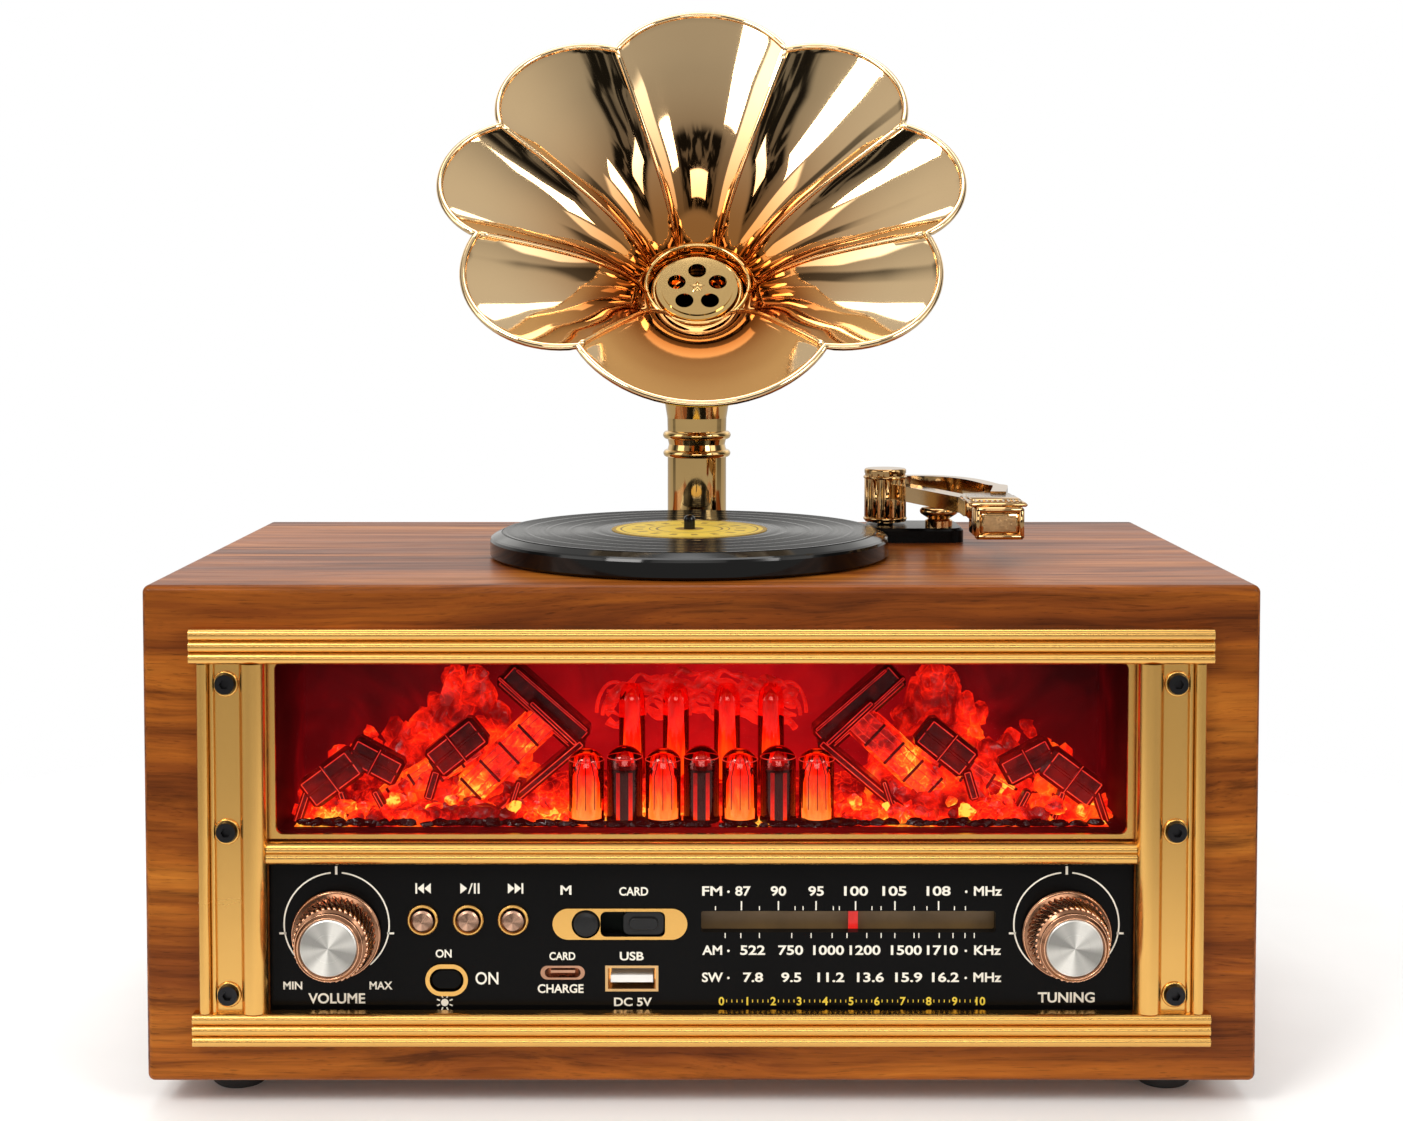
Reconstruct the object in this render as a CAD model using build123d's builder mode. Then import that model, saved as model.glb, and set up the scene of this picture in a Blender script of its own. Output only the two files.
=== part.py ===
from build123d import *
import math
import os

os.makedirs("parts", exist_ok=True)

# ---------------------------------------------------------------- driving dimensions (mm)
CAB_W = 290.0          # cabinet width, X
CAB_H = 130.5          # cabinet height without feet
CAB_D = 151.0          # cabinet depth
FOOT_H = 7.0           # rubber foot height
WALL = 9.0             # board thickness
EDGE_R = 2.0           # rounding of the cabinet's outer edges
KNOB_REACH = 10.4      # knob face ahead of the wooden front
ANT_REACH = 6.2        # folded antenna behind the cabinet's back edge
FRONT = -(CAB_D + ANT_REACH + KNOB_REACH) / 2 + KNOB_REACH   # Y of the wooden front face
BACK = FRONT + CAB_D
PANEL = FRONT + 2.0    # front plane of the control panel
ZB = FOOT_H            # cabinet underside
ZT = FOOT_H + CAB_H    # cabinet top
OPEN_X = 113.0         # half width of the opening in the front board
OPEN_Z0 = ZT - 114.0
OPEN_Z1 = ZT - 18.5
WIN_X = 112.2          # half width of window and control panel
WIN_Z0, WIN_Z1 = ZT - 66.6, ZT - 19.0
PAN_Z0, PAN_Z1 = ZT - 112.8, ZT - 73.4
KNOB_X, KNOB_Z = 95.4, ZT - 91.8
SHAFT_R = 3.0
RUN_GAP = 0.05         # radial running clearance
DRUM_R = 16.0          # dial cord drum
IDLER_R = 4.0          # left return pulley of the dial cord
BTN_X = (-72.8, -60.9, -49.2)
BTN_Z = 49.5
REC_X, REC_Y, REC_R = -3.5, FRONT + 64.3, 57.7     # record player platter
COL_X, COL_Y, COL_R = -1.5, FRONT + 132.7, 9.5     # horn column
HORN_TILT = 40.0       # the horn's axis rises this far towards the viewer
MOUTH_Y, MOUTH_Z = FRONT + 89.0, ZT + 106.1        # centre of the horn's mouth
NOTCH_R, TIP_R = 69.1, 80.0
NOTCHES = (23.4, 65.2, 103.9, 149.3)               # half of the eight rim notches, degrees from the top
HORN_LEN = 47.0        # throat plate to mouth plane
ARM_X, ARM_Y = 57.5, FRONT + 108.0                 # tonearm pivot
HEAD_X, HEAD_Y = 81.8, FRONT + 31.0                # headshell front
ANT_X, ANT_Z = 118.0, ZT - 14.0                    # antenna pivot
ANT_Y = BACK + 3.2
PRESS = 0.8            # button travel


def save(p, name):
    p.part.label = name
    export_step(p.part, "parts/" + name + ".step")


# ================================================================ cabinet
with BuildPart() as front_baffle:
    with BuildSketch(Plane.XZ.offset(-FRONT)) as sk:
        with Locations((0, (ZB + ZT) / 2)):
            Rectangle(CAB_W, CAB_H)
    extrude(amount=-WALL)
    rim = front_baffle.faces().sort_by(Axis.Y)[0].edges()
    side = front_baffle.edges().filter_by(Axis.Y)
    fillet(list(rim) + list(side), EDGE_R)
    with BuildSketch(Plane.XZ.offset(-FRONT)):
        with Locations((0, (OPEN_Z0 + OPEN_Z1) / 2)):
            Rectangle(2 * OPEN_X, OPEN_Z1 - OPEN_Z0)
    extrude(amount=-WALL, mode=Mode.SUBTRACT)
    # pilot holes for the six pilaster screws
    with BuildSketch(Plane.XZ.offset(-FRONT)):
        for sx in (-1, 1):
            for b in (25.3, 63.9, 106.7):
                with Locations((sx * 123.0, ZT - b)):
                    Circle(1.5)
    extrude(amount=-6.5, mode=Mode.SUBTRACT)
save(front_baffle, "front_baffle")

with BuildPart() as cabinet_wrap:
    with BuildSketch(Plane.XZ.offset(-(FRONT + WALL))):
        with Locations((0, (ZB + ZT) / 2)):
            RectangleRounded(CAB_W, CAB_H, EDGE_R)
            Rectangle(CAB_W - 2 * WALL, CAB_H - 2 * WALL, mode=Mode.SUBTRACT)
    extrude(amount=-(CAB_D - WALL))
    # cleats along both sides that the rear panel is screwed to
    with BuildSketch(Plane.XZ.offset(-(BACK - 18.0))):
        for sx in (-1, 1):
            with Locations((sx * (CAB_W / 2 - WALL - 5.5), (ZB + ZT) / 2)):
                Rectangle(11.0, CAB_H - 2 * WALL)
    extrude(amount=-12.0)
    with BuildSketch(Plane.XZ.offset(-(BACK - 18.0))):
        for x in (-130.0, 130.0):
            for z in (ZB + WALL + 6, (ZB + ZT) / 2, ZT - WALL - 6):
                with Locations((x, z)):
                    Circle(1.5)
    extrude(amount=-12.0, mode=Mode.SUBTRACT)
    # seats: platter motor spindle, horn column spigot, tonearm pivot bolt
    with BuildSketch(Plane.XY.offset(ZT - WALL - 1)):
        with Locations((REC_X, REC_Y)):
            Circle(4.0)
        with Locations((COL_X, COL_Y)):
            Circle(6.0)
    extrude(amount=WALL + 2, mode=Mode.SUBTRACT)
    # pilot holes of the feet
    with BuildSketch(Plane.XY.offset(ZB)):
        for sx in (-125.0, 125.0):
            for y in (FRONT + 20.0, BACK - 20.0):
                with Locations((sx, y)):
                    Circle(1.4)
    extrude(amount=6.0, mode=Mode.SUBTRACT)
save(cabinet_wrap, "cabinet_wrap")

RP_Y = BACK - 6.0
with BuildPart() as rear_panel:
    with BuildSketch(Plane.XZ.offset(-RP_Y)):
        with Locations((0, (ZB + ZT) / 2)):
            Rectangle(CAB_W - 2 * WALL - 0.4, CAB_H - 2 * WALL - 0.4)
        # speaker grille: rings of holes
        with Locations((-62.0, ZB + 56.0)):
            Circle(1.6, mode=Mode.SUBTRACT)
            for n, r in ((6, 7.0), (12, 14.0), (18, 21.0), (24, 28.0)):
                with PolarLocations(r, n):
                    Circle(1.6, mode=Mode.SUBTRACT)
        # cooling slots
        with Locations((62.0, ZB + 78.0)):
            with GridLocations(0, 6.0, 1, 6):
                SlotOverall(60.0, 2.4, mode=Mode.SUBTRACT)
        # panel screws
        for x in (-130.0, 130.0):
            for z in (ZB + WALL + 6, (ZB + ZT) / 2, ZT - WALL - 6):
                with Locations((x, z)):
                    Circle(1.7, mode=Mode.SUBTRACT)
        # battery hatch finger notch
        with Locations((62.0, ZB + 24.0)):
            SlotOverall(14.0, 5.0, mode=Mode.SUBTRACT)
    extrude(amount=-3.0)
save(rear_panel, "rear_panel")

with BuildPart() as cabinet_screws:
    # six cross-head screws of the rear panel
    for x in (-130.0, 130.0):
        for z in (ZB + WALL + 6, (ZB + ZT) / 2, ZT - WALL - 6):
            with BuildSketch(Plane.XZ.offset(-(RP_Y + 3.0))):
                with Locations((x, z)):
                    Circle(3.0)
            extrude(amount=-1.4)
            with BuildSketch(Plane.XZ.offset(-(RP_Y + 4.4))):
                with Locations((x, z)):
                    Rectangle(3.6, 0.7)
                    Rectangle(0.7, 3.6)
            extrude(amount=0.8, mode=Mode.SUBTRACT)
            with BuildSketch(Plane.XZ.offset(-(RP_Y + 3.0))):
                with Locations((x, z)):
                    Circle(1.45)
            extrude(amount=9.0)
    # one slotted screw in each rubber foot
    for sx in (-125.0, 125.0):
        for y in (FRONT + 20.0, BACK - 20.0):
            with BuildSketch(Plane.XY.offset(1.2)):
                with Locations((sx, y)):
                    Circle(2.9)
            extrude(amount=1.8)
            with BuildSketch(Plane.XY.offset(1.2)):
                with Locations((sx, y)):
                    Rectangle(3.4, 0.7)
            extrude(amount=0.8, mode=Mode.SUBTRACT)
            with BuildSketch(Plane.XY.offset(3.0)):
                with Locations((sx, y)):
                    Circle(1.35)
            extrude(amount=9.5)
save(cabinet_screws, "cabinet_screws")

with BuildPart() as rubber_feet:
    for sx in (-125.0, 125.0):
        for y in (FRONT + 20.0, BACK - 20.0):
            with BuildSketch(Plane.XY):
                with Locations((sx, y)):
                    Circle(7.25)
            with BuildSketch(Plane.XY.offset(ZB)):
                with Locations((sx, y)):
                    Circle(8.0)
            loft()
    chamfer(rubber_feet.faces().sort_by(Axis.Z)[:4].edges(), 0.7)
    with BuildSketch(Plane.XY):
        for sx in (-125.0, 125.0):
            for y in (FRONT + 20.0, BACK - 20.0):
                with Locations((sx, y)):
                    Circle(3.2)
    extrude(amount=3.0, mode=Mode.SUBTRACT)
    with BuildSketch(Plane.XY):
        for sx in (-125.0, 125.0):
            for y in (FRONT + 20.0, BACK - 20.0):
                with Locations((sx, y)):
                    Circle(1.5)
    extrude(amount=8.0, mode=Mode.SUBTRACT)
save(rubber_feet, "rubber_feet")

# ================================================================ gilt front frame
with BuildPart() as top_molding:
    with BuildSketch(Plane.YZ.offset(-132.0)):
        with BuildLine():
            y0, z0, p = FRONT - 2.6, ZT - 20.0, 9.2 / 3
            Polyline((y0, z0), (FRONT, z0), (FRONT, z0 + 3 * p), (y0, z0 + 3 * p))
            for i in range(3):
                a, b = z0 + (2 - i) * p, z0 + (3 - i) * p
                ThreePointArc((y0, b), (y0 - 1.4, (a + b) / 2), (y0, a))
        make_face()
    extrude(amount=264.0)
save(top_molding, "top_molding")

with BuildPart() as bottom_molding:
    with BuildSketch(Plane.YZ.offset(-132.0)):
        with BuildLine():
            y0, z0, p = FRONT - 2.6, ZT - 120.1, 8.8 / 3
            Polyline((y0, z0), (FRONT, z0), (FRONT, z0 + 3 * p), (y0, z0 + 3 * p))
            for i in range(3):
                a, b = z0 + (2 - i) * p, z0 + (3 - i) * p
                ThreePointArc((y0, b), (y0 - 1.4, (a + b) / 2), (y0, a))
        make_face()
    extrude(amount=264.0)
save(bottom_molding, "bottom_molding")

PIL_Z0, PIL_Z1 = ZT - 111.3, ZT - 20.0
for sx, nm in ((-1, "left_pilaster"), (1, "right_pilaster")):
    with BuildPart() as pil:
        with BuildSketch(Plane.XY.offset(PIL_Z0)):
            with BuildLine():
                f = FRONT
                Polyline((sx * 127.4, f - 1.2), (sx * 127.1, f - 1.2))
                Polyline((sx * 126.0, f - 1.2), (sx * 125.9, f - 1.2), (sx * 119.6, f - 1.2))
                ThreePointArc((sx * 130.2, f - 0.8), (sx * 128.9, f - 3.4), (sx * 127.4, f - 1.2))
                ThreePointArc((sx * 127.1, f - 1.2), (sx * 126.55, f - 2.3), (sx * 126.0, f - 1.2))
                ThreePointArc((sx * 119.6, f - 1.2), (sx * 116.2, f - 4.0), (sx * 112.9, f - 1.4))
                Polyline((sx * 112.9, f - 1.4), (sx * 112.9, f), (sx * 130.2, f), (sx * 130.2, f - 0.8))
            make_face()
        extrude(amount=PIL_Z1 - PIL_Z0)
        with BuildSketch(Plane.XZ.offset(-(FRONT - 6))):
            for b in (25.3, 63.9, 106.7):
                with Locations((sx * 123.0, ZT - b)):
                    Circle(1.9)
        extrude(amount=-8, mode=Mode.SUBTRACT)
    save(pil, nm)

with BuildPart() as pilaster_screws:
    for sx in (-1, 1):
        for b in (25.3, 63.9, 106.7):
            with BuildSketch(Plane.XZ.offset(-(FRONT - 1.2))):
                with Locations((sx * 123.0, ZT - b)):
                    Circle(2.9)
            extrude(amount=1.7, taper=12)
            with BuildSketch(Plane.XZ.offset(-(FRONT - 2.9))):
                with Locations((sx * 123.0, ZT - b)):
                    RegularPolygon(1.3, 6)
            extrude(amount=-1.2, mode=Mode.SUBTRACT)
            with BuildSketch(Plane.XZ.offset(-(FRONT - 1.2))):
                with Locations((sx * 123.0, ZT - b)):
                    Circle(1.45)
            extrude(amount=-7.0)
save(pilaster_screws, "pilaster_screws")

with BuildPart() as middle_rail:
    with BuildSketch(Plane.YZ.offset(-OPEN_X + 0.1)):
        with BuildLine():
            zc, y0 = ZT - 69.9, FRONT + 0.2
            Polyline((y0, zc - 2.9), (FRONT + 3.6, zc - 2.9), (FRONT + 3.6, zc + 2.9), (y0, zc + 2.9))
            ThreePointArc((y0, zc + 2.9), (y0 - 1.7, zc + 1.9), (y0 - 1.9, zc + 0.6))
            Line((y0 - 1.9, zc + 0.6), (y0 - 1.5, zc + 0.3))
            Line((y0 - 1.5, zc + 0.3), (y0 - 2.0, zc - 0.1))
            ThreePointArc((y0 - 2.0, zc - 0.1), (y0 - 2.0, zc - 2.0), (y0, zc - 2.9))
        make_face()
    extrude(amount=2 * (OPEN_X - 0.1))
save(middle_rail, "middle_rail")

with BuildPart() as window_bezel:
    with BuildSketch(Plane.XZ.offset(-(PANEL - 0.6))):
        with Locations((0, (WIN_Z0 + WIN_Z1) / 2)):
            Rectangle(2 * OPEN_X - 0.2, WIN_Z1 - WIN_Z0 - 0.1)
            RectangleRounded(2 * WIN_X - 2.4, WIN_Z1 - WIN_Z0 - 2.4, 2.0, mode=Mode.SUBTRACT)
    extrude(amount=-1.4)
save(window_bezel, "window_bezel")

with BuildPart() as window_pane:
    with BuildSketch(Plane.XZ.offset(-(PANEL + 0.8))):
        with Locations((0, (WIN_Z0 + WIN_Z1) / 2)):
            Rectangle(2 * OPEN_X - 0.2, WIN_Z1 - WIN_Z0 - 0.1)
    extrude(amount=-1.6)
save(window_pane, "window_pane")

# ================================================================ glowing valve scene behind the window
TRAY_Y0 = PANEL + 2.4
TRAY_D = 38.0
TRAY_Z0, TRAY_Z1 = WIN_Z0 + 0.2, OPEN_Z1 - 0.2
with BuildPart() as diorama_tray:
    with BuildSketch(Plane.XZ.offset(-TRAY_Y0)):
        with Locations((0, (TRAY_Z0 + TRAY_Z1) / 2)):
            Rectangle(2 * OPEN_X - 0.2, TRAY_Z1 - TRAY_Z0)
    extrude(amount=-TRAY_D)
    with BuildSketch(Plane.XZ.offset(-TRAY_Y0)):
        with Locations((0, (TRAY_Z0 + TRAY_Z1) / 2)):
            Rectangle(2 * WIN_X - 2.0, TRAY_Z1 - TRAY_Z0 - 2.4)
    extrude(amount=-(TRAY_D - 1.4), mode=Mode.SUBTRACT)
save(diorama_tray, "diorama_tray")

TF = TRAY_Z0 + 1.2     # tray floor
MID_Y = TRAY_Y0 + 16.0
with BuildPart() as ember_bed:
    with BuildSketch(Plane.YZ.offset(-108.0)):
        with BuildLine():
            Polyline((TRAY_Y0 + 3, TF), (TRAY_Y0 + 34, TF), (TRAY_Y0 + 34, TF + 9),
                     (TRAY_Y0 + 22, TF + 6.0), (TRAY_Y0 + 15, TF + 1.2), (TRAY_Y0 + 3, TF + 0.8), close=True)
        make_face()
    extrude(amount=216.0)
save(ember_bed, "ember_bed")

TUBE_PX = (-30.6, -20.4, -10.2, 0.0, 10.2, 20.4, 30.6)
TUBE_Y = 8.2


def bed_z(y):
    """Height of the bed's upper surface at depth y behind the tray's mouth."""
    pts = ((3, 0.8), (15, 1.2), (22, 6.0), (34, 9.0))
    for (a, za), (b, zb) in zip(pts, pts[1:]):
        if a <= y <= b:
            return TF + za + (zb - za) * (y - a) / (b - a)
    return TF + 9.0


with BuildPart() as valve_tubes:
    for x in TUBE_PX:
        h = 16.5 if abs(x) in (20.4, 0.0) else 15.8
        r = 4.7
        zb = bed_z(TUBE_Y + r) + 0.1
        rr = (r * r + 9.0) / 6.0
        zc = zb + h + 3.0 - rr
        half = math.atan2(r, zb + h - zc) / 2
        with BuildSketch(Plane((x, TRAY_Y0 + TUBE_Y, 0), x_dir=(1, 0, 0), z_dir=(0, -1, 0))):
            with BuildLine():
                Polyline((0, zb + h + 3), (0, zb), (r, zb), (r, zb + h))
                ThreePointArc((r, zb + h), (rr * math.sin(half), zc + rr * math.cos(half)), (0, zb + h + 3))
            make_face()
        revolve(axis=Axis((x, TRAY_Y0 + TUBE_Y, 0), (0, 0, 1)))
    for x in (-19.0, -7.0, 7.0, 19.0):
        zb = bed_z(27.6) + 0.1
        with BuildSketch(Plane((x, TRAY_Y0 + 24, 0), x_dir=(1, 0, 0), z_dir=(0, -1, 0))):
            with BuildLine():
                Polyline((0, zb + 27), (0, zb), (3.6, zb), (3.6, zb + 24))
                ThreePointArc((3.6, zb + 24), (2.37, zb + 26.23), (0, zb + 27))
            make_face()
        revolve(axis=Axis((x, TRAY_Y0 + 24, 0), (0, 0, 1)))
    # glass manifold that joins the four tall tubes
    with BuildSketch(Plane.YZ.offset(-26.0)):
        with Locations((TRAY_Y0 + 24, bed_z(24) + 26.0)):
            Circle(3.2)
    extrude(amount=52.0)
save(valve_tubes, "valve_tubes")

with BuildPart() as transformer_blocks:
    for sx in (-1, 1):
        # slanting beam: from the upper outside down to the inside, then back down and out
        with BuildSketch(Plane.XZ.offset(-(TRAY_Y0 + 17.5))):
            with BuildLine():
                Polyline((sx * 60.0, TF + 40.5), (sx * 52.0, TF + 40.5), (sx * 32.0, TF + 22.5),
                         (sx * 60.0, TF + 8.2), (sx * 68.0, TF + 13.5), (sx * 46.5, TF + 24.0), close=True)
            make_face()
        extrude(amount=-10.0)
save(transformer_blocks, "transformer_blocks")

with BuildPart() as coil_boxes:
    for sx in (-1, 1):
        for x, z, w, h, a, y in ((62.0, 27.0, 9.0, 9.0, 25, 32.0), (62.0, 38.0, 7.0, 5.5, 0, 32.0), (97.0, 17.0, 14.0, 8.0, -28, 22.0)):
            pl = Plane((sx * x, TRAY_Y0 + y, TF + z), x_dir=(math.cos(math.radians(a)), 0, sx * math.sin(math.radians(a))), z_dir=(0, -1, 0))
            with BuildSketch(pl):
                Rectangle(w, h)
            extrude(amount=3.9, both=True, taper=8)
save(coil_boxes, "coil_boxes")

with BuildPart() as led_board:
    with BuildSketch(Plane.XZ.offset(-(TRAY_Y0 + TRAY_D + 0.2))):
        with Locations((0, (TRAY_Z0 + TRAY_Z1) / 2)):
            RectangleRounded(190.0, 26.0, 2.0)
            for x in (-90.0, 90.0):
                with Locations((x, 0)):
                    Circle(1.6, mode=Mode.SUBTRACT)
    extrude(amount=-1.6)
save(led_board, "led_board")

# ================================================================ control panel
USB_X, USB_Z, USB_W, USB_H = -18.25, 33.8, 13.9, 6.9
CHG_X, CHG_Z = -36.35, 35.3
SW_X, SW_Z = -66.6, 33.7
MODE_X, MODE_Z = -30.2, 48.4
PL_X = -21.3
SLOT_X0, SLOT_X1 = -26.4, -9.5
DIAL_X0, DIAL_X1, DIAL_Z0, DIAL_Z1 = -0.1, 76.9, 46.1, 51.7

with BuildPart() as control_panel:
    with BuildSketch(Plane.XZ.offset(-PANEL)):
        with Locations((0, (PAN_Z0 + PAN_Z1) / 2)):
            Rectangle(2 * OPEN_X - 0.2, PAN_Z1 - PAN_Z0)
        for sx in (-1, 1):
            with Locations((sx * KNOB_X, KNOB_Z)):
                Circle(3.8, mode=Mode.SUBTRACT)
        for x in BTN_X:
            with Locations((x, BTN_Z)):
                Circle(3.2, mode=Mode.SUBTRACT)
        with Locations((SW_X, SW_Z)):
            SlotOverall(8.9, 6.1, mode=Mode.SUBTRACT)
        with Locations((MODE_X, MODE_Z)):
            Circle(3.75, mode=Mode.SUBTRACT)
        with Locations(((SLOT_X0 + SLOT_X1) / 2, MODE_Z)):
            Rectangle(SLOT_X1 - SLOT_X0, 6.65, mode=Mode.SUBTRACT)
        with Locations((CHG_X, CHG_Z)):
            SlotOverall(11.7, 3.8, mode=Mode.SUBTRACT)
        with Locations((USB_X, USB_Z)):
            Rectangle(USB_W, USB_H, mode=Mode.SUBTRACT)
        with Locations(((DIAL_X0 + DIAL_X1) / 2, (DIAL_Z0 + DIAL_Z1) / 2)):
            RectangleRounded(DIAL_X1 - DIAL_X0, DIAL_Z1 - DIAL_Z0, 0.6, mode=Mode.SUBTRACT)
    extrude(amount=-3.0)
save(control_panel, "control_panel")
PB = PANEL + 3.0       # back face of the control panel

for sx, nm in ((-1, "volume_knob"), (1, "tuning_knob")):
    with BuildPart() as knob:
        y0 = PANEL - 0.4
        yf = FRONT - KNOB_REACH
        with BuildSketch(Plane((sx * KNOB_X, 0, KNOB_Z), x_dir=(1, 0, 0), z_dir=(0, 0, 1))):
            with BuildLine():
                Polyline((0, yf + 1.0), (7.5, yf + 1.0), (7.5, yf + 0.15), (8.1, yf + 0.15), (8.65, yf + 0.8), (8.65, yf + 2.2),
                         (9.3, yf + 2.8), (10.0, y0 - 1.9), (11.1, y0 - 1.6), (11.7, y0 - 1.0), (11.7, y0), (0, y0), close=True)
            make_face()
        revolve(axis=Axis((sx * KNOB_X, 0, KNOB_Z), (0, 1, 0)))
        # knurling of the grip
        with BuildSketch(Plane((sx * KNOB_X, y0 - 2.0, KNOB_Z), x_dir=(1, 0, 0), z_dir=(0, -1, 0))):
            with PolarLocations(10.15, 40):
                Circle(0.42)
        extrude(amount=5.2, mode=Mode.SUBTRACT)
        with BuildSketch(Plane((sx * KNOB_X, y0, KNOB_Z), x_dir=(1, 0, 0), z_dir=(0, -1, 0))):
            Circle(SHAFT_R)
        if sx < 0:
            extrude(amount=-12.0)
        else:
            extrude(amount=6.0, mode=Mode.SUBTRACT)
    save(knob, nm)

for sx, nm in ((-1, "volume_knob_cap"), (1, "tuning_knob_cap")):
    with BuildPart() as cap:
        yf = FRONT - KNOB_REACH
        with BuildSketch(Plane((sx * KNOB_X, 0, KNOB_Z), x_dir=(1, 0, 0), z_dir=(0, 0, 1))):
            with BuildLine():
                Polyline((0, yf), (7.1, yf), (7.5, yf + 0.3), (7.5, yf + 1.0), (0, yf + 1.0), close=True)
            make_face()
        revolve(axis=Axis((sx * KNOB_X, 0, KNOB_Z), (0, 1, 0)))
    save(cap, nm)

with BuildPart() as volume_pot:
    with BuildSketch(Plane.XZ.offset(-(PB + 0.5))):
        with Locations((-KNOB_X, KNOB_Z)):
            RegularPolygon(8.5, 12)
    extrude(amount=-9.0)
    with BuildSketch(Plane.XZ.offset(-(PANEL + 0.2))):
        with Locations((-KNOB_X, KNOB_Z)):
            Circle(3.75)
    extrude(amount=-3.4)
    with BuildSketch(Plane.XZ.offset(-PANEL)):
        with Locations((-KNOB_X, KNOB_Z)):
            Circle(SHAFT_R + RUN_GAP)
    extrude(amount=-16.0, mode=Mode.SUBTRACT)
    with BuildSketch(Plane.XZ.offset(-(PB + 3))):
        with Locations((-KNOB_X, KNOB_Z - 10.0)):
            with GridLocations(5.0, 0, 3, 1):
                Rectangle(1.2, 8.0)
    extrude(amount=-0.8)
save(volume_pot, "volume_pot")

with BuildPart() as tuning_drum:
    # shaft from inside the knob to the capacitor, with the grooved cord drum on it
    with BuildSketch(Plane((KNOB_X, 0, KNOB_Z), x_dir=(1, 0, 0), z_dir=(0, 0, 1))):
        with BuildLine():
            yd = PB + 5.0
            Polyline((0, PANEL - 6.4), (SHAFT_R, PANEL - 6.4), (SHAFT_R, yd - 0.8), (DRUM_R + 0.4, yd - 0.8), (DRUM_R + 0.4, yd),
                     (DRUM_R - 1.0, yd), (DRUM_R - 1.0, yd + 1.6), (DRUM_R + 0.4, yd + 1.6), (DRUM_R + 0.4, yd + 2.4),
                     (SHAFT_R, yd + 2.4), (SHAFT_R, yd + 13.0), (0, yd + 13.0), close=True)
        make_face()
    revolve(axis=Axis((KNOB_X, 0, KNOB_Z), (0, 1, 0)))
save(tuning_drum, "tuning_drum")

with BuildPart() as tuning_capacitor:
    with BuildSketch(Plane.XZ.offset(-(PB + 8.6))):
        with Locations((KNOB_X, KNOB_Z)):
            RectangleRounded(22.0, 22.0, 2.0)
            Circle(SHAFT_R + RUN_GAP, mode=Mode.SUBTRACT)
    extrude(amount=-14.0)
save(tuning_capacitor, "tuning_capacitor")

IDL_X, IDL_Z = 2.0, KNOB_Z + DRUM_R - IDLER_R
with BuildPart() as dial_cord:
    with BuildSketch(Plane.XZ.offset(-(PB + 5.3))):
        with BuildSketch(mode=Mode.PRIVATE) as outer:
            with Locations((KNOB_X, KNOB_Z)):
                Circle(DRUM_R + 0.3)
            with Locations((IDL_X, IDL_Z)):
                Circle(IDLER_R + 0.3)
            make_hull()
        with BuildSketch(mode=Mode.PRIVATE) as inner:
            with Locations((KNOB_X, KNOB_Z)):
                Circle(DRUM_R - 0.6)
            with Locations((IDL_X, IDL_Z)):
                Circle(IDLER_R - 0.6)
            make_hull()
        add(outer.sketch)
        add(inner.sketch, mode=Mode.SUBTRACT)
    extrude(amount=-1.0)
save(dial_cord, "dial_cord")

with BuildPart() as dial_plate:
    with BuildSketch(Plane.XZ.offset(-(PB + 1.6))):
        with Locations(((DIAL_X0 + DIAL_X1) / 2, 47.3)):
            Rectangle(DIAL_X1 - DIAL_X0 + 1.0, 9.0)
    extrude(amount=-1.2)
    # feet that carry the plate on the panel
    with BuildSketch(Plane.XZ.offset(-PB)):
        for x in (DIAL_X0 + 2.0, DIAL_X1 - 2.0):
            with Locations((x, 44.2)):
                Rectangle(3.0, 2.0)
    extrude(amount=-1.6)
    # fixed grooved guide that turns the cord round at the left, on its stud
    with BuildSketch(Plane((IDL_X, 0, IDL_Z), x_dir=(1, 0, 0), z_dir=(0, 0, 1))):
        with BuildLine():
            yd = PB + 5.0
            Polyline((0, PB), (1.6, PB), (1.6, yd - 0.8), (IDLER_R + 0.6, yd - 0.8), (IDLER_R + 0.6, yd - 0.1), (IDLER_R - 0.9, yd - 0.1),
                     (IDLER_R - 0.9, yd + 1.7), (IDLER_R + 0.6, yd + 1.7), (IDLER_R + 0.6, yd + 2.4), (0, yd + 2.4), close=True)
        make_face()
    revolve(axis=Axis((IDL_X, 0, IDL_Z), (0, 1, 0)))
save(dial_plate, "dial_plate")

PTR_X = 39.9
CORD_Z = KNOB_Z + DRUM_R - 0.15
with BuildPart() as dial_pointer:
    with BuildSketch(Plane.XZ.offset(-(PB + 0.4))):
        with Locations((PTR_X, 53.0)):
            Rectangle(2.5, 15.0)
    extrude(amount=-0.8)
    # clip over the cord's upper run
    with BuildSketch(Plane.XZ.offset(-(PB + 1.2))):
        with Locations((PTR_X, CORD_Z - 3.0)):
            Rectangle(5.0, 3.2)
    extrude(amount=-5.6)
    with BuildSketch(Plane.XZ.offset(-(PB + 1.2))):
        with Locations((PTR_X, CORD_Z - 3.0)):
            Rectangle(2.5, 3.2)
    extrude(amount=-0.2)
save(dial_pointer, "dial_pointer")

with BuildPart() as button_bezels:
    with BuildSketch(Plane.XZ.offset(-PANEL)):
        for x in BTN_X:
            with Locations((x, BTN_Z)):
                Circle(4.0)
                Circle(3.2, mode=Mode.SUBTRACT)
    extrude(amount=1.2)
    chamfer(button_bezels.faces().sort_by(Axis.Y)[:3].edges(), 0.25)
    with BuildSketch(Plane.XZ.offset(-PANEL)):
        with Locations((SW_X, SW_Z)):
            SlotOverall(11.1, 8.4)
            SlotOverall(8.9, 6.1, mode=Mode.SUBTRACT)
    extrude(amount=1.0)
save(button_bezels, "button_bezels")

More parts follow.
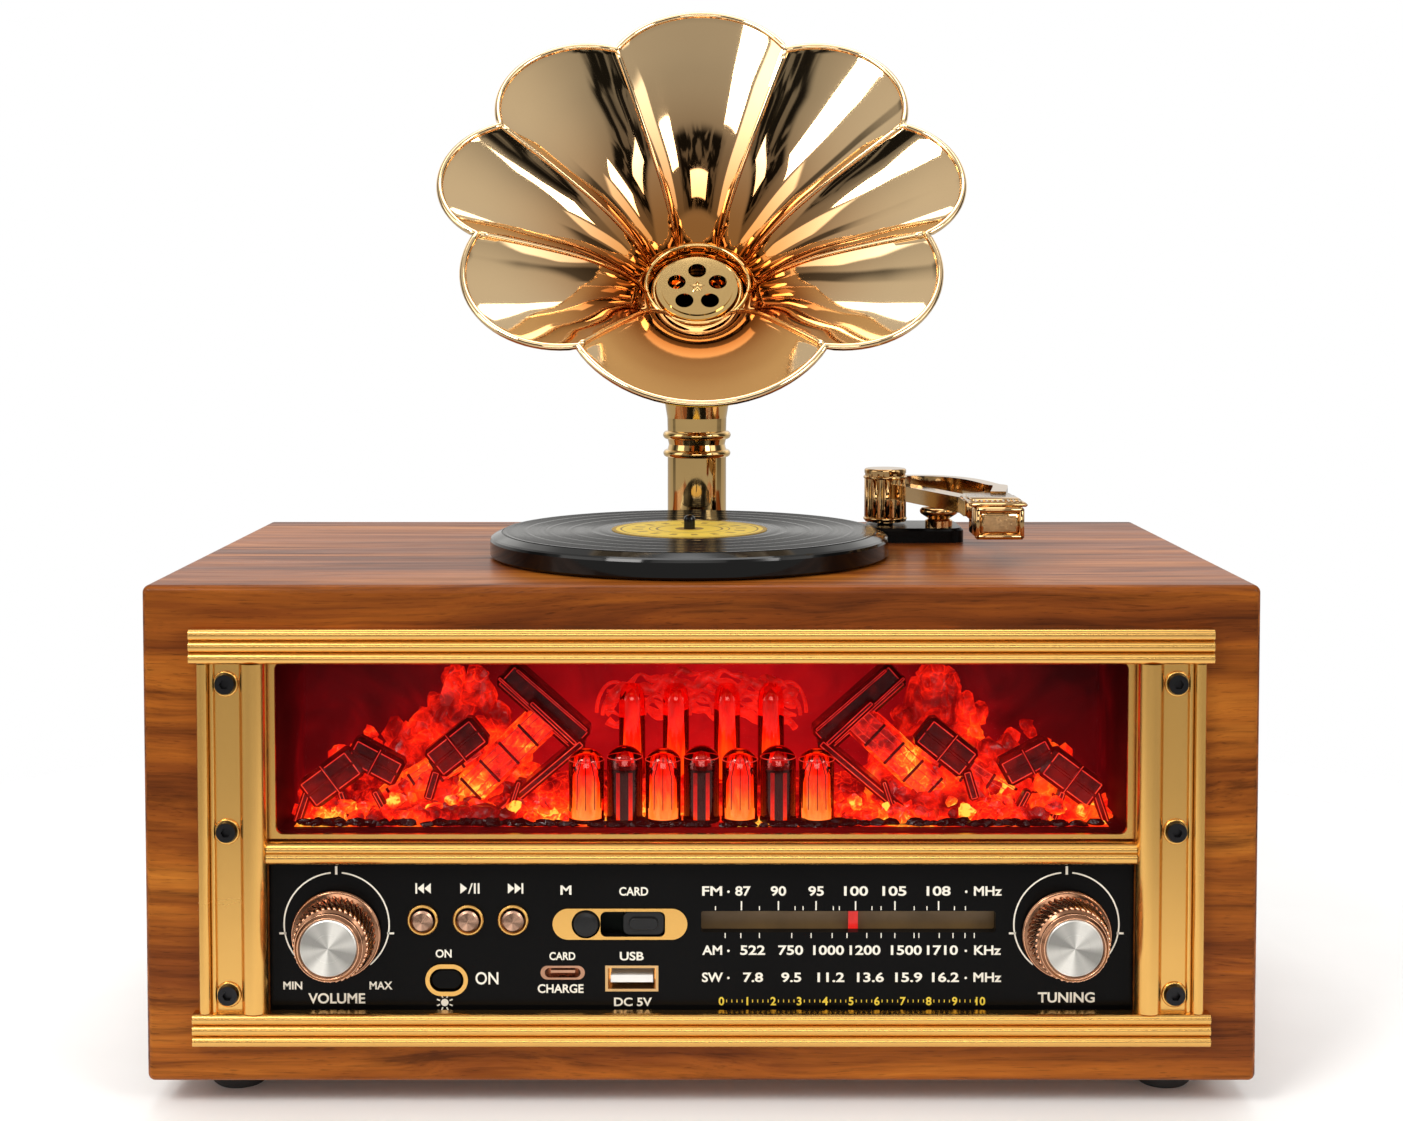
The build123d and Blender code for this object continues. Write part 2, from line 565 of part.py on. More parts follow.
for x, nm in zip(BTN_X, ("previous_button", "play_button", "next_button")):
    with BuildPart() as btn:
        with BuildSketch(Plane((x, 0, BTN_Z), x_dir=(1, 0, 0), z_dir=(0, 0, 1))):
            with BuildLine():
                Polyline((0, PB + 3.2), (0, PANEL - 2.7))
                Line((0, PANEL - 2.7), (2.3, PANEL - 2.45))
                Polyline((2.3, PANEL - 2.45), (2.85, PANEL - 2.0), (2.85, PB + 0.4), (4.1, PB + 0.4), (4.1, PB + 1.2),
                         (1.6, PB + 1.2), (1.6, PB + 3.2), (0, PB + 3.2))
            make_face()
        revolve(axis=Axis((x, 0, BTN_Z), (0, 1, 0)))
    save(btn, nm)

with BuildPart() as mode_plate:
    with BuildSketch(Plane.XZ.offset(-PANEL)):
        with Locations((PL_X, MODE_Z)):
            SlotOverall(35.2, 8.2)
        with Locations((MODE_X, MODE_Z)):
            Circle(3.75, mode=Mode.SUBTRACT)
        with Locations(((SLOT_X0 + SLOT_X1) / 2, MODE_Z)):
            RectangleRounded(SLOT_X1 - SLOT_X0, 6.65, 1.5, mode=Mode.SUBTRACT)
    extrude(amount=0.6)
save(mode_plate, "mode_plate")

with BuildPart() as mode_button:
    with BuildSketch(Plane((MODE_X, 0, MODE_Z), x_dir=(1, 0, 0), z_dir=(0, 0, 1))):
        with BuildLine():
            Polyline((0, PB + 3.2), (0, PANEL - 1.5), (2.2, PANEL - 1.35), (3.1, PANEL - 1.05), (3.4, PANEL - 0.5), (3.4, PB + 0.4),
                     (4.6, PB + 0.4), (4.6, PB + 1.2), (1.6, PB + 1.2), (1.6, PB + 3.2), close=True)
        make_face()
    revolve(axis=Axis((MODE_X, 0, MODE_Z), (0, 1, 0)))
    # trimmed so that it clears the band switch's track
    with BuildSketch(Plane.XZ.offset(-(PB + 0.1))):
        with Locations((MODE_X + 6.1, MODE_Z)):
            Rectangle(5.0, 12.0)
    extrude(amount=-2.0, mode=Mode.SUBTRACT)
save(mode_button, "mode_button")

with BuildPart() as band_slider:
    with BuildSketch(Plane.XZ.offset(-(PANEL + 0.2))):
        with Locations((-15.15, MODE_Z)):
            RectangleRounded(10.5, 5.9, 1.6)
    extrude(amount=-2.9)
    with BuildSketch(Plane.XZ.offset(-(PB + 0.1))):
        with Locations((-15.15, MODE_Z)):
            Rectangle(8.0, 4.0)
    extrude(amount=-1.6)
    with BuildSketch(Plane.XZ.offset(-(PANEL + 0.2))):
        with Locations((-15.15, MODE_Z)):
            SlotOverall(7.6, 3.2)
    extrude(amount=0.9)
    fillet(band_slider.faces().sort_by(Axis.Y)[0].edges(), 0.35)
save(band_slider, "band_slider")

with BuildPart() as light_switch:
    with BuildSketch(Plane.XZ.offset(-(PANEL - 0.6))):
        with Locations((SW_X, SW_Z)):
            SlotOverall(8.1, 5.2)
    extrude(amount=-3.2)
    fillet(light_switch.faces().sort_by(Axis.Y)[0].edges(), 0.5)
save(light_switch, "light_switch")

with BuildPart() as usb_socket:
    with BuildSketch(Plane.XZ.offset(-(PANEL + 0.1))):
        with Locations((USB_X, USB_Z)):
            Rectangle(USB_W, USB_H)
            Rectangle(USB_W - 1.4, USB_H - 1.4, mode=Mode.SUBTRACT)
    extrude(amount=-13.0)
    with BuildSketch(Plane.XZ.offset(-(PANEL + 12.0))):
        with Locations((USB_X, USB_Z)):
            Rectangle(USB_W - 1.4, USB_H - 1.4)
    extrude(amount=-1.1)
save(usb_socket, "usb_socket")

with BuildPart() as usb_tongue:
    with BuildSketch(Plane.XZ.offset(-(PANEL + 0.9))):
        with Locations((USB_X, USB_Z - 0.3)):
            Rectangle(11.1, 1.9)
    extrude(amount=-11.1)
save(usb_tongue, "usb_tongue")

with BuildPart() as charge_socket:
    with BuildSketch(Plane.XZ.offset(-(PANEL + 0.2))):
        with Locations((CHG_X, CHG_Z)):
            SlotOverall(11.6, 3.7)
            SlotOverall(9.4, 2.6, mode=Mode.SUBTRACT)
    extrude(amount=-7.0)
    with BuildSketch(Plane.XZ.offset(-(PANEL + 1.2))):
        with Locations((CHG_X, CHG_Z)):
            Rectangle(6.4, 0.7)
    extrude(amount=-6.0)
    with BuildSketch(Plane.XZ.offset(-(PANEL + 6.4))):
        with Locations((CHG_X, CHG_Z)):
            SlotOverall(10.4, 3.2)
    extrude(amount=-0.8)
save(charge_socket, "charge_socket")

with BuildPart() as main_board:
    # carries the keys and sockets, on four stand-offs from the panel
    with BuildSketch(Plane.XZ.offset(-(PANEL + 13.4))):
        with Locations((-43.0, 43.6)):
            RectangleRounded(76.0, 32.0, 1.5)
    extrude(amount=-1.6)
    with BuildSketch(Plane.XZ.offset(-PB)):
        for x in (-78.5, -44.0):
            for z in (30.5, 58.0):
                with Locations((x, z)):
                    Circle(1.8)
    extrude(amount=-8.4 - 2.0)
    # key switch bodies behind the buttons
    with BuildSketch(Plane.XZ.offset(-(PB + 5.0))):
        for x in BTN_X:
            with Locations((x, BTN_Z)):
                Rectangle(6.0, 6.0)
        with Locations((MODE_X, MODE_Z)):
            Rectangle(6.0, 6.0)
    extrude(amount=-5.4)
save(main_board, "main_board")

with BuildPart() as battery_pack:
    with BuildSketch(Plane.XY.offset(ZB + WALL)):
        with Locations((62.0, BACK - 30.0)):
            RectangleRounded(72.0, 40.0, 3.0)
    extrude(amount=20.0)
    fillet(battery_pack.faces().sort_by(Axis.Z)[-1].edges(), 1.5)
save(battery_pack, "battery_pack")

with BuildPart() as speaker:
    with BuildSketch(Plane((-62.0, 0, ZB + 56.0), x_dir=(1, 0, 0), z_dir=(0, 0, 1))):
        with BuildLine():
            ys = RP_Y
            Polyline((0, ys - 26), (16, ys - 26), (16, ys - 14), (22, ys - 12), (33, ys - 4), (38, ys - 3.5), (38, ys), (33, ys),
                     (30, ys - 2.5), (12, ys - 9), (8, ys - 8.2), (0, ys - 7.0), close=True)
        make_face()
    revolve(axis=Axis((-62.0, 0, ZB + 56.0), (0, 1, 0)))
save(speaker, "speaker")

# ================================================================ record player on top
with BuildPart() as platter_motor:
    zt = ZT - WALL
    with BuildSketch(Plane((REC_X, REC_Y, 0), x_dir=(1, 0, 0), z_dir=(0, -1, 0))):
        with BuildLine():
            Polyline((2.0 + RUN_GAP, ZT - 0.2), (3.9, ZT - 0.2), (3.9, zt), (17.0, zt), (17.0, zt - 2.0), (13.0, zt - 2.0),
                     (13.0, zt - 7.5), (2.0 + RUN_GAP, zt - 7.5), close=True)
        make_face()
    revolve(axis=Axis((REC_X, REC_Y, 0), (0, 0, 1)))
save(platter_motor, "platter_motor")

with BuildPart() as platter:
    with BuildSketch(Plane((REC_X, REC_Y, 0), x_dir=(1, 0, 0), z_dir=(0, -1, 0))):
        with BuildLine():
            Polyline((0, ZT - WALL - 6.5), (2.0, ZT - WALL - 6.5), (2.0, ZT + 0.5), (REC_R - 0.5, ZT + 0.5), (REC_R, ZT + 1.0),
                     (REC_R, ZT + 5.0), (REC_R - 0.3, ZT + 5.7), (REC_R - 0.9, ZT + 6.1), (54.4, ZT + 7.2), (54.4, ZT + 5.6), (1.65, ZT + 5.6),
                     (1.65, ZT + 10.4))
            Polyline((1.65, ZT + 10.4), (1.5, ZT + 10.9), (1.0, ZT + 11.4), (0.5, ZT + 11.55), (0, ZT + 11.6))
            Line((0, ZT + 11.6), (0, ZT - WALL - 6.5))
        make_face()
    revolve(axis=Axis((REC_X, REC_Y, 0), (0, 0, 1)))
save(platter, "platter")

with BuildPart() as record_disc:
    with BuildSketch(Plane.XY.offset(ZT + 5.6)):
        with Locations((REC_X, REC_Y)):
            Circle(54.3)
            Circle(1.8, mode=Mode.SUBTRACT)
    extrude(amount=1.8)
save(record_disc, "record_disc")

with BuildPart() as record_label:
    with BuildSketch(Plane.XY.offset(ZT + 7.4)):
        with Locations((REC_X, REC_Y)):
            Circle(22.6)
            Circle(1.8, mode=Mode.SUBTRACT)
    extrude(amount=0.15)
save(record_label, "record_label")

# ================================================================ horn
ct, st = math.cos(math.radians(HORN_TILT)), math.sin(math.radians(HORN_TILT))
NX, NY, NZ = 0.0, -ct, st                 # horn axis, throat to mouth
BEND_R = 16.0
turn = 90.0 - HORN_TILT
# where the horn's axis line meets the end of the elbow
end_y = COL_Y - BEND_R * (1 - math.cos(math.radians(turn)))
s_end = (end_y - MOUTH_Y) / ct
end_z = MOUTH_Z - s_end * st
BEND_Z = end_z - BEND_R * math.sin(math.radians(turn))

with BuildPart() as horn_column:
    with BuildSketch(Plane((COL_X, COL_Y, 0), x_dir=(1, 0, 0), z_dir=(0, -1, 0))):
        with BuildLine():
            Polyline((5.9, ZT - WALL), (5.9, ZT), (10.3, ZT), (10.3, ZT + 1.4), (COL_R, ZT + 2.4), (COL_R, ZT + 23.4))
            ThreePointArc((COL_R, ZT + 23.4), (COL_R + 1.4, ZT + 24.6), (COL_R, ZT + 25.8))
            Line((COL_R, ZT + 25.8), (COL_R - 0.4, ZT + 27.5))
            Line((COL_R - 0.4, ZT + 27.5), (COL_R, ZT + 29.2))
            ThreePointArc((COL_R, ZT + 29.2), (COL_R + 1.5, ZT + 30.5), (COL_R, ZT + 31.8))
            Polyline((COL_R, ZT + 31.8), (COL_R + 0.1, ZT + 36.0), (COL_R + 0.9, ZT + 41.0), (COL_R + 0.4, ZT + 46.0), (COL_R, BEND_Z),
                     (COL_R - 1.6, BEND_Z), (COL_R - 1.6, ZT + 3), (4.2, ZT + 2), (4.2, ZT - WALL), (5.9, ZT - WALL))
        make_face()
    revolve(axis=Axis((COL_X, COL_Y, 0), (0, 0, 1)))
save(horn_column, "horn_column")

with BuildPart() as column_nut:
    with BuildSketch(Plane.XY.offset(ZT - WALL - 5.0)):
        with Locations((COL_X, COL_Y)):
            RegularPolygon(11.0, 6)
            Circle(4.2, mode=Mode.SUBTRACT)
    extrude(amount=5.0)
save(column_nut, "column_nut")

with BuildPart() as horn_elbow:
    with BuildSketch(Plane.XY.offset(BEND_Z)):
        with Locations((COL_X, COL_Y)):
            Circle(COL_R)
            Circle(COL_R - 1.6, mode=Mode.SUBTRACT)
    revolve(axis=Axis((COL_X, COL_Y - BEND_R, BEND_Z), (1, 0, 0)), revolution_arc=turn)
save(horn_elbow, "horn_elbow")

# throat-to-mouth frame: local x to the viewer's right, local y up along the mouth


def horn_plane(s):
    """Section plane at distance s behind the mouth plane, along the horn's axis."""
    k = s / s_end
    return Plane((COL_X * k, MOUTH_Y - s * NY, MOUTH_Z - s * NZ), x_dir=(1, 0, 0), z_dir=(NX, NY, NZ))


RIM_ANGLES = [-a for a in reversed(NOTCHES)] + list(NOTCHES)
# (distance behind the mouth, notch radius, petal radius)
SECTIONS = ((s_end - 0.0, 14.5, 14.8), (s_end - 7.0, 17.0, 17.8), (s_end - 17.0, 24.0, 26.0), (s_end - 29.0, 37.0, 41.0),
            (s_end - 41.0, 56.0, 62.5), (0.0, NOTCH_R, TIP_R))


def horn_wire(rn, rp):
    """Eight arcs, notch to petal crown to notch, in the active line builder."""
    n = len(RIM_ANGLES)
    for i in range(n):
        a0, a1 = RIM_ANGLES[i], RIM_ANGLES[(i + 1) % n]
        if a1 < a0:
            a1 += 360.0
        am = (a0 + a1) / 2
        p = [(r * math.sin(math.radians(a)), r * math.cos(math.radians(a))) for r, a in ((rn, a0), (rp, am), (rn, a1))]
        ThreePointArc(*p)


with BuildPart() as horn_bell:
    for s, rn, rp in SECTIONS:
        with BuildSketch(horn_plane(s)):
            with BuildLine():
                horn_wire(rn, rp)
            make_face()
    loft()
    with BuildPart(mode=Mode.PRIVATE) as bore:
        for i, (s, rn, rp) in enumerate(SECTIONS):
            s2 = s - 1.5 if i == 0 else (s - 1.6 if i < len(SECTIONS) - 1 else -0.6)
            d = 1.1 if i < len(SECTIONS) - 1 else 0.5
            with BuildSketch(horn_plane(s2)):
                with BuildLine():
                    horn_wire(rn - d, rp - d)
                make_face()
        loft()
    add(bore.part, mode=Mode.SUBTRACT)
    # sound passage into the elbow
    with BuildSketch(horn_plane(s_end + 1.0)):
        Circle(COL_R - 1.6)
    extrude(amount=4.0, mode=Mode.SUBTRACT)
save(horn_bell, "horn_bell")

with BuildPart() as throat_rosette:
    with BuildSketch(horn_plane(s_end - 1.5)):
        Circle(13.0)
        Circle(11.0, mode=Mode.SUBTRACT)
    extrude(amount=4.5)
    with BuildSketch(horn_plane(s_end - 4.0)):
        Circle(11.4)
        with PolarLocations(6.9, 5, start_angle=90):
            Circle(2.9, mode=Mode.SUBTRACT)
        Circle(1.4, mode=Mode.SUBTRACT)
    extrude(amount=2.4)
save(throat_rosette, "throat_rosette")

# ================================================================ tonearm
ARM_Z0 = ZT + 5.0
with BuildPart() as tonearm_base:
    with BuildSketch(Plane.XY.offset(ZT)):
        with Locations((66.0, FRONT + 104.0)):
            RectangleRounded(29.0, 24.0, 5.0)
    extrude(amount=4.4)
    chamfer(tonearm_base.faces().sort_by(Axis.Z)[-1].edges(), 0.8)
    with BuildSketch(Plane.XY.offset(ZT + 4.4)):
        with Locations((ARM_X, ARM_Y)):
            Circle(2.5)
    extrude(amount=8.0)
save(tonearm_base, "tonearm_base")

with BuildPart() as tonearm_rest:
    with BuildSketch(Plane((73.0, FRONT + 97.5, 0), x_dir=(1, 0, 0), z_dir=(0, -1, 0))):
        with BuildLine():
            Polyline((0, ZT + 4.4), (4.2, ZT + 4.4), (4.2, ZT + 6.4), (3.2, ZT + 7.0), (5.4, ZT + 8.4))
            ThreePointArc((5.4, ZT + 8.4), (5.8, ZT + 9.4), (4.8, ZT + 10.4))
            Polyline((4.8, ZT + 10.4), (0, ZT + 11.0), (0, ZT + 4.4))
        make_face()
    revolve(axis=Axis((73.0, FRONT + 97.5, 0), (0, 0, 1)))
save(tonearm_rest, "tonearm_rest")

with BuildPart() as headshell:
    with BuildSketch(Plane.XY.offset(ZT + 8.2)):
        with Locations((HEAD_X, HEAD_Y + 7.0)):
            RectangleRounded(13.5, 14.0, 0.8)
    extrude(amount=8.9)
    with BuildSketch(Plane.XZ.offset(-HEAD_Y)):
        with Locations((HEAD_X, ZT + 12.6)):
            Rectangle(10.6, 6.0)
    extrude(amount=-0.8, mode=Mode.SUBTRACT)
    # ribbed top plate and the tail that joins the two bars
    with BuildSketch(Plane.XY.offset(ZT + 12.4)):
        with Locations((HEAD_X, HEAD_Y + 20.5)):
            RectangleRounded(15.6, 14.5, 2.0)
    extrude(amount=6.4)
    with BuildSketch(Plane.XY.offset(ZT + 17.1)):
        with Locations((HEAD_X, HEAD_Y + 10.0)):
            RectangleRounded(15.6, 18.0, 1.5)
    extrude(amount=1.7)
save(headshell, "headshell")

with BuildPart() as tonearm:
    # fluted pivot block that turns on the base's pin
    with BuildSketch(Plane.XY.offset(ARM_Z0)):
        with Locations((ARM_X, ARM_Y)):
            Circle(6.3)
            with PolarLocations(6.9, 10):
                Circle(1.3, mode=Mode.SUBTRACT)
    extrude(amount=15.2)
    with BuildSketch(Plane.XY.offset(ARM_Z0 + 15.2)):
        with Locations((ARM_X, ARM_Y)):
            Circle(6.5)
    extrude(amount=1.4)
    fillet(tonearm.faces().sort_by(Axis.Z)[-1].edges(), 0.6)
    with BuildSketch(Plane.XY.offset(ARM_Z0 - 1)):
        with Locations((ARM_X, ARM_Y)):
            Circle(2.5 + RUN_GAP)
    extrude(amount=9.0, mode=Mode.SUBTRACT)
    # straight inner bar
    with BuildSketch(Plane.XY.offset(ZT + 12.4)):
        with BuildLine():
            Polyline((ARM_X + 3.5, ARM_Y - 3.5), (ARM_X + 7.5, ARM_Y - 3.0), (HEAD_X + 1.5, HEAD_Y + 22.0), (HEAD_X - 4.0, HEAD_Y + 22.0),
                     (ARM_X + 1.5, ARM_Y - 4.5), close=True)
        make_face()
    extrude(amount=4.6)
    # outer bar that bows out and comes back
    with BuildSketch(Plane.XY.offset(ZT + 13.6)):
        with BuildLine() as ln:
            Spline((ARM_X + 3.0, ARM_Y + 3.0), (ARM_X + 14.0, ARM_Y + 3.5), (ARM_X + 25.0, ARM_Y - 8.0), (ARM_X + 30.0, ARM_Y - 28.0),
                   (HEAD_X + 3.5, HEAD_Y + 27.0), tangents=((1, 0.5), (-0.2, -1)))
        trace(line_width=4.4)
    extrude(amount=5.4)
    add(headshell.part, mode=Mode.SUBTRACT)
save(tonearm, "tonearm")

# ================================================================ folded telescopic antenna on the back
with BuildPart() as antenna_bracket:
    with BuildSketch(Plane.XZ.offset(-(RP_Y + 3.0))):
        with Locations((ANT_X, ANT_Z)):
            RectangleRounded(16.0, 9.0, 2.0)
    extrude(amount=-2.6)
    with BuildSketch(Plane.XZ.offset(-(RP_Y + 5.6))):
        with Locations((ANT_X, ANT_Z)):
            Circle(2.0)
    extrude(amount=-6.6)
save(antenna_bracket, "antenna_bracket")

with BuildPart() as antenna_tube:
    with BuildSketch(Plane.XZ.offset(-(BACK + 0.4))):
        with Locations((ANT_X, ANT_Z)):
            Circle(4.4)
            Circle(2.0 + RUN_GAP, mode=Mode.SUBTRACT)
    extrude(amount=-5.6)
    with BuildSketch(Plane.YZ.offset(ANT_X - 4.0)):
        with Locations((ANT_Y, ANT_Z)):
            Circle(2.6)
            Circle(1.8 + RUN_GAP, mode=Mode.SUBTRACT)
    extrude(amount=-164.0)
save(antenna_tube, "antenna_tube")

with BuildPart() as antenna_tip:
    with BuildSketch(Plane.YZ.offset(ANT_X - 6.0)):
        with Locations((ANT_Y, ANT_Z)):
            Circle(1.8)
    extrude(amount=-163.0)
    with BuildSketch(Plane.YZ.offset(ANT_X - 168.6)):
        with Locations((ANT_Y, ANT_Z)):
            Circle(3.0)
    extrude(amount=-5.0)
    fillet(antenna_tip.faces().sort_by(Axis.X)[0].edges(), 1.2)
save(antenna_tip, "antenna_tip")

print("front", FRONT, "back", BACK, "bend_z", BEND_Z, "s_end", s_end, "elbow end", end_y, end_z, "nodes", len(os.listdir("parts")))
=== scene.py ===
import bpy
import math
import random
from mathutils import Matrix, Vector, noise


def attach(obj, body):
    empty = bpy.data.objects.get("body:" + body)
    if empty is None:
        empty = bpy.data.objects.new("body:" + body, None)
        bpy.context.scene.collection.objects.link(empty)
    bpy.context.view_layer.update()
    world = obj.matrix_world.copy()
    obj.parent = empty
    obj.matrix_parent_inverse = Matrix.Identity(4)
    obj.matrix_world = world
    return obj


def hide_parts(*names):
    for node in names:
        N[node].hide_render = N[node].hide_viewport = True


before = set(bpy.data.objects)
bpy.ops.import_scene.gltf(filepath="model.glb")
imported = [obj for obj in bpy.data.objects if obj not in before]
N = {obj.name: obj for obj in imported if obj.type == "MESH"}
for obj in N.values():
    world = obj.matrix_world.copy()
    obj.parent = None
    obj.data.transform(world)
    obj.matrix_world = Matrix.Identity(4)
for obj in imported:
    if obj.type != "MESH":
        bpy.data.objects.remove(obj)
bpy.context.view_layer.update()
scene = bpy.context.scene
PI = math.pi

# ---------------------------------------------------------------- the frame's main places, metres
FRONT = -0.0734
PANEL = FRONT + 0.002
BACK = FRONT + 0.151
ZT = 0.1375
REC = (-0.0035, FRONT + 0.0643)
COL = (-0.0015, FRONT + 0.1327)
KNOB_X, KNOB_Z = 0.0954, ZT - 0.0918
TRAY_Y0 = PANEL + 0.0024
TF = ZT - 0.0666 + 0.0002 + 0.0012
MM = 0.001


# ================================================================ camera
cam_data = bpy.data.cameras.new("camera")
cam = bpy.data.objects.new("camera", cam_data)
scene.collection.objects.link(cam)
scene.camera = cam
cam_data.sensor_width = 36.0
cam_data.lens = 50.4824
cam_data.shift_y = -0.12
cam_data.clip_start = 0.01
cam.location = (0.0, -0.57933, 0.20939)
cam.rotation_euler = (PI / 2 - math.radians(2.4708), 0, 0)

# ================================================================ material helpers


class Mat:
    """A Principled material whose inputs are fed by procedural nodes."""

    def __init__(self, name, **values):
        self.m = bpy.data.materials.new(name)
        self.m.use_nodes = True
        self.t = self.m.node_tree
        self.t.nodes.clear()
        self.out = self.t.nodes.new("ShaderNodeOutputMaterial")
        self.b = self.t.nodes.new("ShaderNodeBsdfPrincipled")
        self.t.links.new(self.b.outputs[0], self.out.inputs[0])
        self.coord = self.t.nodes.new("ShaderNodeTexCoord")
        for k, v in values.items():
            self.set(k.replace("_", " "), v)

    def set(self, key, v):
        s = self.b.inputs[key]
        if isinstance(v, bpy.types.NodeSocket):
            self.t.links.new(v, s)
        elif isinstance(v, (tuple, list)) and len(v) == 3 and s.type == "RGBA":
            s.default_value = (*v, 1)
        else:
            s.default_value = v

    def node(self, kind, **kw):
        n = self.t.nodes.new(kind)
        for k, v in kw.items():
            setattr(n, k, v)
        return n

    def link(self, a, b):
        self.t.links.new(a, b)

    def vec(self, scale=(1, 1, 1), loc=(0, 0, 0), rot=(0, 0, 0), src=None):
        mp = self.node("ShaderNodeMapping")
        mp.inputs["Scale"].default_value = scale
        mp.inputs["Location"].default_value = loc
        mp.inputs["Rotation"].default_value = rot
        self.link(src or self.coord.outputs["Object"], mp.inputs["Vector"])
        return mp.outputs[0]

    def noise(self, vec, scale, detail=4.0, rough=0.5, dist=0.0):
        n = self.node("ShaderNodeTexNoise")
        n.inputs["Scale"].default_value = scale
        n.inputs["Detail"].default_value = detail
        n.inputs["Roughness"].default_value = rough
        n.inputs["Distortion"].default_value = dist
        self.link(vec, n.inputs["Vector"])
        return n.outputs["Fac"]

    def ramp(self, fac, stops, mode="LINEAR"):
        r = self.node("ShaderNodeValToRGB")
        r.color_ramp.interpolation = mode
        el = r.color_ramp.elements
        while len(el) > 1:
            el.remove(el[0])
        el[0].position = stops[0][0]
        el[0].color = self._c(stops[0][1])
        for p, c in stops[1:]:
            e = el.new(p)
            e.color = self._c(c)
        self.link(fac, r.inputs["Fac"])
        return r.outputs["Color"]

    @staticmethod
    def _c(c):
        return (c, c, c, 1) if isinstance(c, (int, float)) else (*c, 1)

    def maprange(self, fac, a, b, c, d):
        r = self.node("ShaderNodeMapRange")
        for i, v in zip((1, 2, 3, 4), (a, b, c, d)):
            r.inputs[i].default_value = v
        self.link(fac, r.inputs[0])
        return r.outputs[0]

    def math(self, op, a, b=None, c=None):
        n = self.node("ShaderNodeMath", operation=op)
        for i, v in enumerate((a, b, c)):
            if v is None:
                continue
            if isinstance(v, (int, float)):
                n.inputs[i].default_value = v
            else:
                self.link(v, n.inputs[i])
        return n.outputs[0]

    def mix(self, fac, a, b, mode="MIX"):
        n = self.node("ShaderNodeMix", data_type="RGBA", blend_type=mode)
        for sock, v in ((n.inputs[0], fac), (n.inputs[6], a), (n.inputs[7], b)):
            if isinstance(v, bpy.types.NodeSocket):
                self.link(v, sock)
            elif isinstance(v, (tuple, list)):
                sock.default_value = (*v, 1) if len(v) == 3 else v
            else:
                sock.default_value = v
        return n.outputs[2]

    def sep(self, vec):
        n = self.node("ShaderNodeSeparateXYZ")
        self.link(vec, n.inputs[0])
        return n.outputs

    def bump(self, height, strength=0.3, dist=0.0005):
        n = self.node("ShaderNodeBump")
        n.inputs["Strength"].default_value = strength
        n.inputs["Distance"].default_value = dist
        self.link(height, n.inputs["Height"])
        self.link(n.outputs[0], self.b.inputs["Normal"])
        return n.outputs[0]


def metal(name, color, rough=0.1, spread=0.05, tint=0.12, grain=0.05, scale=60.0, stretch=(1, 1, 1), bump_d=0.00005):
    m = Mat(name, Metallic=1.0)
    v = m.vec(stretch)
    big = m.noise(v, scale, 5, 0.55)
    fine = m.noise(v, scale * 14, 3, 0.6)
    dark = tuple(c * (1 - tint) for c in color)
    m.set("Base Color", m.mix(m.maprange(big, 0.3, 0.7, 0, 1), color, dark))
    m.set("Roughness", m.math("ADD", m.maprange(big, 0.3, 0.7, max(rough - spread, 0.01), rough + spread), m.maprange(fine, 0.3, 0.8, 0, spread * 0.5)))
    m.bump(fine, grain, bump_d)
    return m.m


def plastic(name, color, rough=0.4, spread=0.08, tint=0.25, grain=0.15, scale=120.0, coat=0.0, bump_d=0.00008, spec=0.5):
    m = Mat(name)
    v = m.vec()
    big = m.noise(v, scale * 0.3, 4, 0.55)
    fine = m.noise(v, scale * 12, 3, 0.6)
    dark = tuple(c * (1 - tint) for c in color)
    m.set("Base Color", m.mix(m.maprange(big, 0.3, 0.7, 0, 1), color, dark))
    m.set("Roughness", m.maprange(big, 0.3, 0.7, max(rough - spread, 0.02), rough + spread))
    m.set("Coat Weight", coat)
    m.set("Coat Roughness", 0.06)
    m.set("Specular IOR Level", spec)
    m.bump(fine, grain, bump_d)
    return m.m


